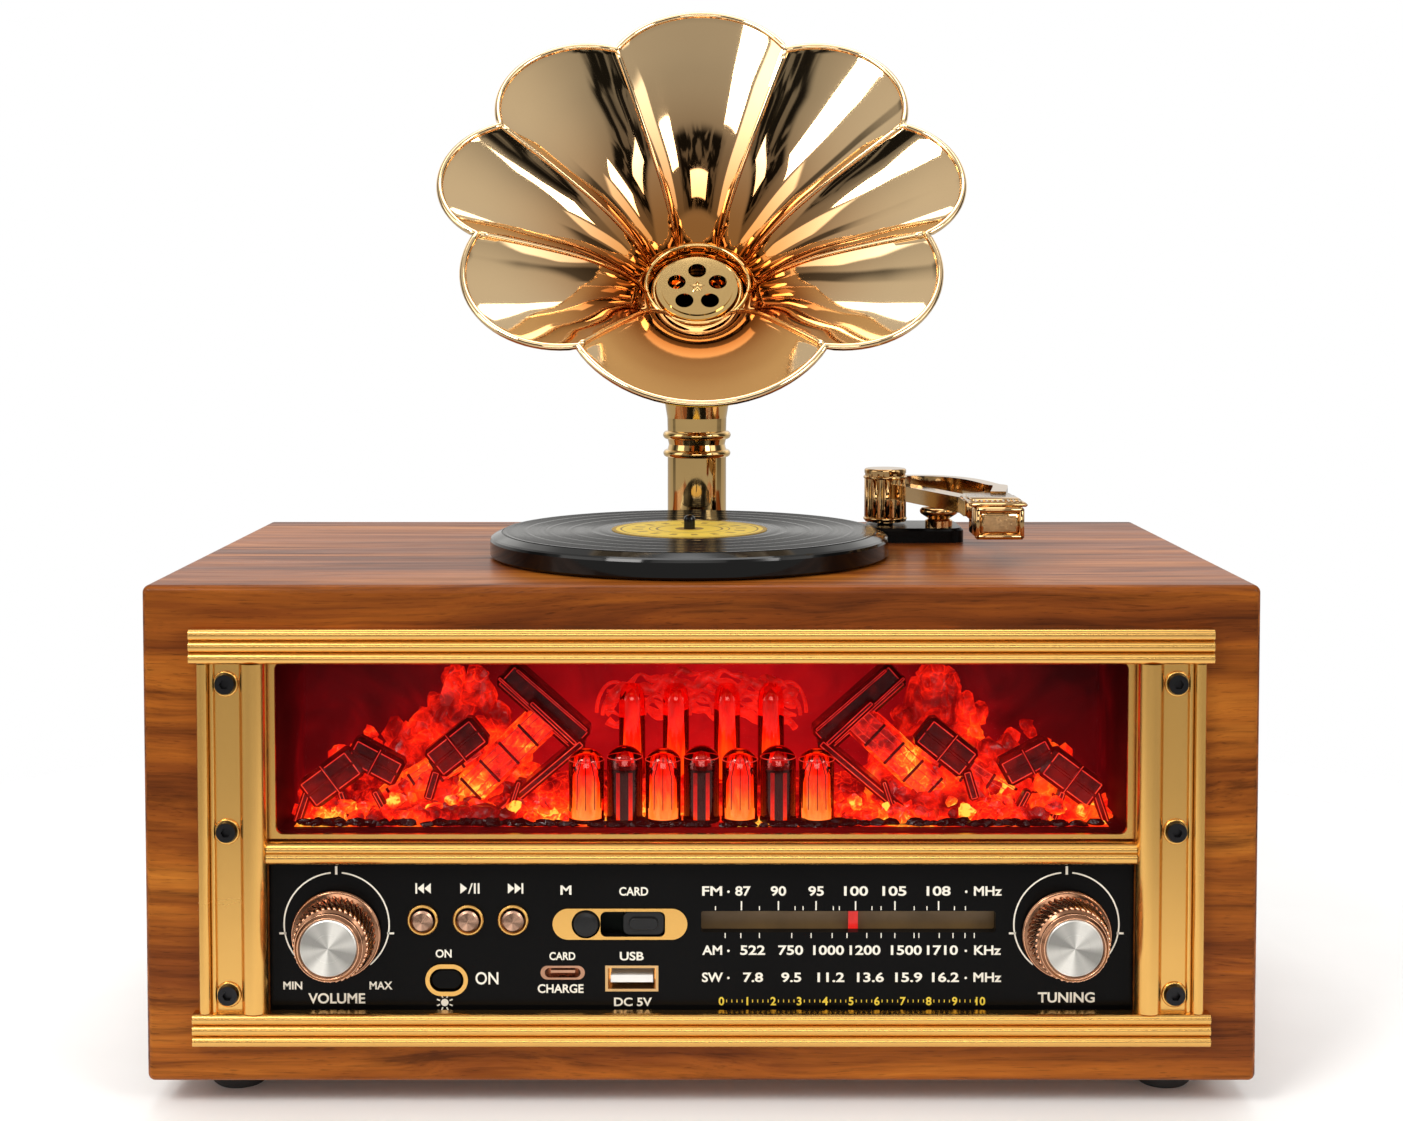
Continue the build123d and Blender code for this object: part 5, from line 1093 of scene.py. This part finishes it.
def build_valves():
    glass, rods, cores, bases, wires, rim_glints = Shape(), Shape(), Shape(), Shape(), Shape(), Shape()
    r = 4.7
    for x in TUBES:
        dark = abs(x) in (20.4, 0.0)
        h = 16.5 if dark else 15.8
        zb = bed_z(TUBE_Y + r) + 0.0001
        c = (x * MM, TRAY_Y0 + TUBE_Y * MM, zb)
        rr = (r * r + 9.0) / 6.0
        dome = []
        for k in range(9):
            a = math.atan2(r, h - (h + 3.0 - rr)) * (1 - k / 8.0)
            dome.append((max(rr * math.sin(a), 0.01) * MM, (h + 3.0 - rr + rr * math.cos(a)) * MM))
        glass.lathe([(r * 0.2 * MM, 0.0), (r * MM, 0.0), (r * MM, h * 0.33 * MM), (r * MM, h * 0.66 * MM)] + dome, c, "Z", 32)
        # painted highlight: a thin glowing ring along each envelope's top edge
        rim_glints.tube([(c[0] + r * MM * math.cos(2 * PI * k / 32), c[1] + r * MM * math.sin(2 * PI * k / 32), zb + h * MM) for k in range(32)], 0.12 * MM, 6, closed=True)
        if dark:
            # smoked sleeve with a lit slot down its front
            for a0, a1 in ((-60, 62), (118, 240), (256, 284)):
                n = 14
                rows = []
                for zz, q in ((0.2, 0.93), (0.2, 0.99), (h - 3.2, 0.99), (h - 3.2, 0.93)):
                    rows.append([(c[0] + q * r * MM * math.cos(math.radians(a0 + (a1 - a0) * i / n)), c[1] + q * r * MM * math.sin(math.radians(a0 + (a1 - a0) * i / n)), zb + zz * MM) for i in range(n + 1)])
                bases.grid(rows, close_v=True, flip=True)
            bases.lathe([(1.5 * MM, (h - 3.4) * MM), (r * 0.99 * MM, (h - 3.4) * MM), (r * 0.99 * MM, (h - 2.7) * MM), (1.0 * MM, (h - 2.5) * MM)], c, "Z", 28)
            cores.lathe([(0.2 * MM, 0.2 * MM), (3.4 * MM, 0.3 * MM), (3.4 * MM, (h - 3.5) * MM), (0.2 * MM, (h - 3.4) * MM)], c, "Z", 22)
            cores.lathe([(0.2 * MM, (h - 2.5) * MM), (1.6 * MM, (h - 2.4) * MM), (1.8 * MM, (h - 0.8) * MM), (0.8 * MM, (h + 1.2) * MM), (0.05 * MM, (h + 1.6) * MM)], c, "Z", 20)
        else:
            prof = [(0.2 * MM, 0.2 * MM), (3.9 * MM, 0.3 * MM), (4.0 * MM, 2.6 * MM), (3.5 * MM, 5.0 * MM), (3.7 * MM, 8.5 * MM), (3.2 * MM, (h - 5) * MM), (2.3 * MM, (h - 2.0) * MM), (1.2 * MM, (h - 0.4) * MM), (0.05 * MM, (h + 1.2) * MM)]
            rods.lathe(prof, c, "Z", 28)
            for a in (200, 235, 270, 305, 340, 60, 120):
                an = math.radians(a)
                wires.tube([(c[0] + 4.1 * MM * math.cos(an), c[1] + 4.1 * MM * math.sin(an), zb + 3.0 * MM), (c[0] + 3.9 * MM * math.cos(an), c[1] + 3.9 * MM * math.sin(an), zb + (h - 4) * MM), (c[0] + 1.9 * MM * math.cos(an), c[1] + 1.9 * MM * math.sin(an), zb + (h + 0.6) * MM)], 0.13 * MM, 6)
        bases.lathe([(r * 0.6 * MM, -0.5 * MM), (r * 1.05 * MM, -0.5 * MM), (r * 1.05 * MM, 0.35 * MM), (r * 1.0 * MM, 0.5 * MM)], c, "Z", 28)
    g = piece("valve_envelopes", glass, red_glass, angle=math.radians(40))
    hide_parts("valve_tubes")
    piece("valve_filaments", rods, filament_mat)
    piece("valve_cores", cores, core_mat, angle=math.radians(40))
    piece("valve_bases", bases, dark_base_mat, angle=math.radians(40))
    piece("valve_wires", wires, dark_base_mat)
    piece("valve_rim_glints", rim_glints, edge_mat)
    rear, rrod, man = Shape(), Shape(), Shape()
    for x in (-19.0, -7.0, 7.0, 19.0):
        zb = bed_z(27.6) + 0.0001
        c = (x * MM, TRAY_Y0 + 0.024, zb)
        rear.lathe([(0.8 * MM, 0), (3.6 * MM, 0), (3.6 * MM, 22 * MM), (3.1 * MM, 25 * MM), (2.0 * MM, 26.6 * MM), (0.05 * MM, 27 * MM)], c, "Z", 24)
        rrod.lathe([(0.3 * MM, 0.5 * MM), (2.3 * MM, 0.6 * MM), (2.5 * MM, 9 * MM), (2.0 * MM, 16 * MM), (2.4 * MM, 20 * MM), (1.4 * MM, 24 * MM), (0.05 * MM, 25.4 * MM)], c, "Z", 18)
    piece("rear_envelopes", rear, red_glass, angle=math.radians(40))
    piece("rear_filaments", rrod, rear_rod_mat)
    zc = bed_z(24) + 0.0275
    for k, (dy, dz, rad) in enumerate(((0.0, 0.0, 1.5), (1.0, -3.2, 1.0), (-1.5, -5.6, 0.7), (3.0, -8.5, 1.3), (0.0, 2.2, 0.8))):
        pts = []
        for i in range(57):
            x = -26.0 + 52.0 * i / 56.0
            wob = 1.1 * math.sin(x * 0.52 + k) + 0.6 * math.sin(x * 1.1 + 2 * k)
            pts.append((x * MM, TRAY_Y0 + (27.5 + dy + 0.8 * math.cos(x * 0.4)) * MM, min(zc + (dz + wob - 0.006 * x * x) * MM, TF + 0.0405)))
        man.tube(pts, lambda t, rad=rad, k=k: (rad + 0.35 * math.sin(t * 40 + k)) * MM, 14)
    for x in (-24.0, -12.5, 0.0, 12.5, 24.0):
        for rr2, dy in ((5.0, 30.0), (3.2, 26.5)):
            pts = []
            for i in range(25):
                a = PI * i / 24
                pts.append(((x - rr2 * math.cos(a)) * MM, TRAY_Y0 + dy * MM, zc + (-9.0 + rr2 * 1.7 * math.sin(a)) * MM))
            man.tube(pts, 0.55 * MM, 10)
    piece("glass_manifold", man, manifold_mat)


build_valves()


def slab(sh, rim, p0, p1, wpx, y0, y1, sx, bevel=0.8, edge=0.16):
    """A slanted prism between two photo points, wpx pixels wide, with thin lit edges."""
    a, b = at(*p0, y0, sx), at(*p1, y0, sx)
    w = wpx * (537.4 + y0) / 2050.0 * MM
    d = b - a
    L = d.length
    d.normalize()
    n = Vector((0, 1, 0)).cross(d)
    mat = Matrix(((d.x, 0, n.x, a.x), (0, 1, 0, a.y), (d.z, 0, n.z, a.z), (0, 0, 0, 1)))
    sh.box((0, 0, -w / 2), (L, (y1 - y0) * MM, w / 2), mat, bevel * MM)
    if rim is not None:
        q = [(bevel * MM, -w / 2 + bevel * MM), (L - bevel * MM, -w / 2 + bevel * MM), (L - bevel * MM, w / 2 - bevel * MM), (bevel * MM, w / 2 - bevel * MM)]
        for i in range(4):
            (xa, za), (xb, zb) = q[i], q[(i + 1) % 4]
            rim.tube([tuple(mat @ Vector((xa + (xb - xa) * t / 6, 0.0, za + (zb - za) * t / 6))) for t in range(7)], edge * MM, 6)
    return mat, L, w


def build_beams():
    dark, lit, rim, frames = Shape(), Shape(), Shape(), Shape()
    for sx in (-1, 1):
        # upper dark beam, with two ribs along it
        slab(dark, rim, (505, 672), (583, 742), 30, 15.5, 25, sx, 1.0)
        slab(dark, rim, (499, 676), (570, 742), 5, 14.3, 16.5, sx, 0.4)
        slab(dark, rim, (517, 668), (588, 730), 5, 14.3, 16.5, sx, 0.4)
        # lit logs below it, each with its dark lower rail
        m1, L1, w1 = slab(lit, rim, (548, 716), (452, 806), 34, 14.5, 23, sx, 1.2)
        slab(dark, rim, (584, 741), (474, 834), 11, 13.0, 22, sx, 0.8)
        slab(dark, rim, (530, 700), (578, 745), 9, 12.8, 20, sx, 0.8)
        m2, L2, w2 = slab(lit, rim, (480, 742), (372, 812), 30, 16.0, 24, sx, 1.2)
        for mt, L, w in ((m1, L1, w1), (m2, L2, w2)):
            for k in range(1, 5):
                xx = L * k / 5
                dark.box((xx - 0.35 * MM, -0.5 * MM, -w / 2 + 0.6 * MM), (xx + 0.35 * MM, 0.3 * MM, w / 2 - 0.6 * MM), mt, 0.12 * MM)
            for k in (0.34, 0.66):
                zz = -w / 2 + w * k
                rim.tube([tuple(mt @ Vector((L * t / 8, -0.25 * MM, zz + 0.3 * MM * math.sin(t * 1.7)))) for t in range(9)], 0.14 * MM, 6)
        # squared dark box in the middle of the heap: frame, cross bar and smoky face
        for (p0, p1, w, y0, y1) in (((433, 766), (481, 728), 34, 8.0, 14.0), ((306, 797), (356, 760), 34, 8.5, 14.5), ((350, 748), (400, 775), 30, 10.0, 16.0)):
            mt, L, ww = slab(frames, rim, p0, p1, w, y0, y1, sx, 1.1, 0.17)
            for k in (0.5,):
                dark.box((L * k - 0.5 * MM, -0.7 * MM, -ww / 2 + 0.7 * MM), (L * k + 0.5 * MM, 0.2 * MM, ww / 2 - 0.7 * MM), mt, 0.2 * MM)
                rim.tube([tuple(mt @ Vector((L * k, -0.75 * MM, -ww / 2 + ww * t / 6))) for t in range(7)], 0.12 * MM, 6)
            dark.box((0.9 * MM, -0.7 * MM, -0.45 * MM), (L - 0.9 * MM, 0.2 * MM, 0.45 * MM), mt, 0.2 * MM)
        for p0, p1, w in (((308, 790), (296, 826), 9), ((340, 790), (352, 826), 8), ((374, 790), (392, 824), 8), ((437, 770), (428, 800), 10), ((520, 780), (505, 826), 7)):
            slab(dark, rim, p0, p1, w, 9.5, 12.5, sx, 0.6, 0.13)
    o = piece("smoked_beams", dark, smoked_mat, angle=math.radians(30))
    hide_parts("transformer_blocks", "coil_boxes")
    piece("lit_logs", lit, log_mat, angle=math.radians(30))
    piece("smoked_boxes", frames, smoked_mat, angle=math.radians(30))
    piece("lit_edges", rim, edge_mat)


build_beams()


# ================================================================ small details on the carried-over parts
def build_details():
    rings = Shape()
    for sx in (-1, 1):
        for b in (25.3, 63.9, 106.7):
            rings.lathe([(0.0027, -0.00005), (0.0033, -0.00005), (0.00335, -0.0003), (0.0031, -0.00055), (0.0028, -0.0005)], (sx * 0.123, FRONT - 0.0012, ZT - b * MM), "Y", 40, flip=True)
    piece("screw_washers", rings, satin_gold)
    # thin copper ring round each key; a black gap ring is shaped as well but never placed
    thin, gap = Shape(), Shape()
    for x in (-72.8, -60.9, -49.2):
        thin.tube([((x + 3.75 * math.cos(2 * PI * k / 40)) * MM, PANEL - 0.00075, ZT - 0.088 + 3.75 * MM * math.sin(2 * PI * k / 40)) for k in range(40)], 0.30 * MM, 8, closed=True, up=Vector((0, 1, 0)))
        gap.lathe([(2.62 * MM, -0.00060), (3.6 * MM, -0.00066)], (x * MM, PANEL, ZT - 0.088), "Y", 40, flip=True)
    piece("key_rings", thin, rose_gold)
    # rope pattern round the knobs' skirts
    for sx, body, nm in ((-1, "volume", "volume_grip"), (1, "tuning", "tuning_grip")):
        kn = Shape()
        n = 40
        for i in range(n):
            a0 = 2 * PI * i / n
            pts = []
            for t in range(6):
                u = t / 5.0
                rr = 9.28 + 0.98 * u
                yy = -7.6 + 7.2 * u
                a = a0 + 0.34 * u
                pts.append((sx * KNOB_X + rr * MM * math.cos(a), FRONT + yy * MM, KNOB_Z + rr * MM * math.sin(a)))
            kn.tube(pts, lambda t: (0.40 + 0.06 * t) * MM, 8)
        for rr, yy, w in ((7.85, -10.33, 0.16), (8.72, -9.55, 0.14), (11.35, 0.35, 0.20)):
            kn.tube([(sx * KNOB_X + rr * MM * math.cos(2 * PI * k / 64), FRONT + yy * MM, KNOB_Z + rr * MM * math.sin(2 * PI * k / 64)) for k in range(64)], w * MM, 8, closed=True, up=Vector((0, 1, 0)))
        piece(nm, kn, bright_copper, body)


build_details()


def build_headshell():
    """Head with rounded walls, a sunk grained face, a stepped ribbed lid and a tail."""
    hx, hy = 81.8, FRONT / MM + 31.0
    z = ZT / MM
    sh = Shape()

    def bx(x0, x1, y0, y1, z0, z1, b, target=None):
        (target or sh).box((x0 * MM, y0 * MM, z0 * MM), (x1 * MM, y1 * MM, z1 * MM), None, b * MM)

    bx(hx - 6.75, hx + 6.75, hy + 0.9, hy + 14.0, z + 8.2, z + 17.1, 0.9)
    # front frame: four rounded bars round the sunk face
    for x0, x1, z0, z1 in ((-6.75, 6.75, 15.5, 17.1), (-6.75, 6.75, 8.2, 9.7), (-6.75, -5.2, 8.2, 17.1), (5.2, 6.75, 8.2, 17.1)):
        bx(hx + x0, hx + x1, hy, hy + 1.6, z + z0, z + z1, 0.55)
    bx(hx - 5.0, hx + 5.0, hy + 0.55, hy + 1.2, z + 9.9, z + 15.3, 0.15)
    bx(hx - 7.8, hx + 7.8, hy + 1.0, hy + 19.0, z + 17.1, z + 18.2, 0.45)
    bx(hx - 6.9, hx + 6.9, hy + 6.4, hy + 18.6, z + 18.0, z + 18.8, 0.35)
    for k in range(9):
        x = hx - 6.0 + 1.5 * k
        sh.tube([(x * MM, (hy + 1.9) * MM, (z + 18.25) * MM), (x * MM, (hy + 5.9) * MM, (z + 18.35) * MM)], 0.42 * MM, 10)
    bx(hx - 7.8, hx + 7.8, hy + 13.25, hy + 27.7, z + 12.4, z + 18.6, 1.3)
    for k in range(6):
        y = hy + 14.5 + 2.2 * k
        sh.tube([((hx - 7.75) * MM, y * MM, (z + 13.2) * MM), ((hx - 7.75) * MM, y * MM, (z + 17.6) * MM)], 0.5 * MM, 10)
        sh.tube([((hx + 7.75) * MM, y * MM, (z + 13.2) * MM), ((hx + 7.75) * MM, y * MM, (z + 17.6) * MM)], 0.5 * MM, 10)
    o = piece("head_casting", sh, arm_gold, "arm", angle=math.radians(50))
    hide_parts("headshell")
    face = Shape()
    bx(hx - 4.5, hx + 4.5, hy + 0.40, hy + 0.7, z + 10.4, z + 14.8, 0.1, face)
    piece("head_face", face, grained_gold, "arm", angle=math.radians(50))
    rib = Shape()
    ax, ay = 57.5, FRONT / MM + 108.0
    n = 10
    for i in range(n):
        a = 2 * PI * (i + 0.5) / n
        x, y = ax + 5.65 * math.cos(a), ay + 5.65 * math.sin(a)
        rib.tube([(x * MM, y * MM, (z + 5.2) * MM), (x * MM, y * MM, (z + 19.3) * MM)], 1.0 * MM, 14)
    for zz in (6.0, 18.9):
        rib.tube([((ax + 6.35 * math.cos(2 * PI * k / 48)) * MM, (ay + 6.35 * math.sin(2 * PI * k / 48)) * MM, (z + zz) * MM) for k in range(48)], 0.5 * MM, 10, closed=True)
    # upright flutes round the pivot, with a ring near each end
    piece("pivot_flutes", rib, arm_gold, "arm")


build_headshell()

# ================================================================ studio: floor, light, world
floor_mat = Mat("floor_pale")
fn = floor_mat.noise(floor_mat.vec(), 18, 4)
floor_mat.set("Base Color", floor_mat.mix(floor_mat.maprange(fn, 0.3, 0.7, 0, 1), (0.95, 0.95, 0.95), (0.92, 0.92, 0.92)))
floor_mat.set("Roughness", floor_mat.maprange(fn, 0.3, 0.7, 0.5, 0.6))
fp = floor_mat.sep(floor_mat.coord.outputs["Object"])
fd = floor_mat.math("SQRT", floor_mat.math("ADD", floor_mat.math("MULTIPLY", fp[0], fp[0]), floor_mat.math("MULTIPLY", fp[1], fp[1])))
away = floor_mat.maprange(fd, 0.20, 0.42, 0.0, 1.0)
clear = floor_mat.node("ShaderNodeBsdfTransparent")
fmix = floor_mat.node("ShaderNodeMixShader")
floor_mat.link(away, fmix.inputs[0])
floor_mat.link(floor_mat.b.outputs[0], fmix.inputs[1])
floor_mat.link(clear.outputs[0], fmix.inputs[2])
floor_mat.link(fmix.outputs[0], floor_mat.out.inputs[0])
floor = Shape()
rows = []
W = 3.0
for k in range(2):
    rows.append([(-W, -W + 2 * W * k, 0.0), (W, -W + 2 * W * k, 0.0)])
floor.grid(rows)
me = bpy.data.meshes.new("floor")
me.from_pydata(floor.v, [], floor.f)
me.materials.append(floor_mat.m)
fo = bpy.data.objects.new("floor", me)
scene.collection.objects.link(fo)


def area(name, loc, target, size, power, color=(1, 1, 1), size_y=None):
    li = bpy.data.lights.new(name, "AREA")
    li.energy = power
    li.color = color
    li.shape = "RECTANGLE"
    li.size = size
    li.size_y = size_y or size
    ob = bpy.data.objects.new(name, li)
    scene.collection.objects.link(ob)
    ob.location = loc
    ob.rotation_euler = (Vector(target) - Vector(loc)).to_track_quat("-Z", "Y").to_euler()
    return ob


area("key", (-0.85, -1.0, 1.30), (0, 0, 0.12), 0.55, 13.0, (1.0, 0.98, 0.95))
area("fill", (1.05, -1.0, 0.85), (0, 0, 0.12), 0.45, 6.0, (1.0, 0.99, 0.97))
area("top", (0.0, 0.30, 1.45), (0, 0, 0.1), 0.9, 8.0)
area("low_front", (0.0, -1.5, 0.42), (0, 0, 0.14), 0.9, 3.5, (1.0, 0.97, 0.93), 0.25)

world = bpy.data.worlds.new("studio")
scene.world = world
world.use_nodes = True
wt = world.node_tree
wt.nodes.clear()


def wn(kind, **kw):
    n = wt.nodes.new(kind)
    for k, v in kw.items():
        setattr(n, k, v)
    return n


def wm(op, a, b=None):
    n = wn("ShaderNodeMath", operation=op)
    for i, v in enumerate((a, b)):
        if v is None:
            continue
        if isinstance(v, (int, float)):
            n.inputs[i].default_value = v
        else:
            wt.links.new(v, n.inputs[i])
    return n.outputs[0]


def step(x, a, b):
    """0 below a, 1 above b, smooth between."""
    n = wn("ShaderNodeMapRange", interpolation_type="SMOOTHSTEP")
    n.inputs[1].default_value, n.inputs[2].default_value = a, b
    wt.links.new(x, n.inputs[0])
    return n.outputs[0]


tc = wn("ShaderNodeTexCoord")
sp = wn("ShaderNodeSeparateXYZ")
wt.links.new(tc.outputs["Generated"], sp.inputs[0])
az = wm("ARCTAN2", sp.outputs[0], wm("MULTIPLY", sp.outputs[1], -1.0))
el = sp.outputs[2]


def window(v, lo, hi, soft):
    return wm("MULTIPLY", step(v, lo - soft, lo + soft), wm("SUBTRACT", 1.0, step(v, hi - soft, hi + soft)))


def panel_light(a0, a1, e0, e1, soft, gain):
    return wm("MULTIPLY", wm("MULTIPLY", window(az, a0, a1, soft), window(el, e0, e1, soft)), gain)


nz = wn("ShaderNodeTexNoise")
nz.inputs["Scale"].default_value = 4.5
nz.inputs["Detail"].default_value = 5
nz.inputs["Distortion"].default_value = 1.2
wt.links.new(tc.outputs["Generated"], nz.inputs["Vector"])
clutter = step(nz.outputs["Fac"], 0.47, 0.55)
# pale room, darker towards the camera and at eye height, with four soft boxes
val = wm("ADD", 0.32, wm("MULTIPLY", step(el, 0.30, 0.95), 0.36))
val = wm("ADD", val, wm("MULTIPLY", wm("SUBTRACT", 1.0, step(el, -0.12, 0.0)), 0.22))
room = window(az, -0.62, 0.62, 0.10)
room = wm("MULTIPLY", room, window(el, -0.04, 0.42, 0.03))
dark = wm("MULTIPLY", room, wm("SUBTRACT", 0.97, wm("MULTIPLY", clutter, 0.55)))
side_l = wm("MULTIPLY", window(az, -1.90, -1.62, 0.05), window(el, -0.1, 0.8, 0.05))
side_r = wm("MULTIPLY", window(az, 1.50, 1.95, 0.05), window(el, -0.1, 0.7, 0.05))
val = wm("MULTIPLY", val, wm("SUBTRACT", 1.0, dark))
val = wm("MULTIPLY", val, wm("SUBTRACT", 1.0, wm("MULTIPLY", wm("ADD", side_l, side_r), 0.8)))
behind = wm("MULTIPLY", step(wm("ABSOLUTE", az), 1.95, 2.25), wm("MULTIPLY", window(el, -0.02, 0.45, 0.06), 0.55))
val = wm("ADD", val, behind)
for args in ((-1.45, -0.95, 0.02, 0.62, 0.02, 1.9), (1.02, 1.40, 0.06, 0.55, 0.02, 1.5), (-0.42, 0.42, 0.62, 0.80, 0.015, 1.7), (-2.9, -2.3, 0.25, 0.6, 0.05, 0.5), (2.3, 2.9, 0.25, 0.6, 0.05, 0.5)):
    val = wm("ADD", val, panel_light(*args))
warm = wn("ShaderNodeCombineColor")
wt.links.new(val, warm.inputs[0])
wt.links.new(wm("MULTIPLY", val, 0.985), warm.inputs[1])
wt.links.new(wm("MULTIPLY", val, 0.95), warm.inputs[2])
wo = wn("ShaderNodeOutputWorld")
bg, bg2 = wn("ShaderNodeBackground"), wn("ShaderNodeBackground")
wt.links.new(warm.outputs[0], bg.inputs["Color"])
bg.inputs["Strength"].default_value = 1.0
bg2.inputs["Color"].default_value = (1, 1, 1, 1)
bg2.inputs["Strength"].default_value = 1.0
lp = wn("ShaderNodeLightPath")
mx = wn("ShaderNodeMixShader")
wt.links.new(lp.outputs["Is Camera Ray"], mx.inputs[0])
wt.links.new(bg.outputs[0], mx.inputs[1])
wt.links.new(bg2.outputs[0], mx.inputs[2])
wt.links.new(mx.outputs[0], wo.inputs[0])
scene.view_settings.view_transform = "Standard"
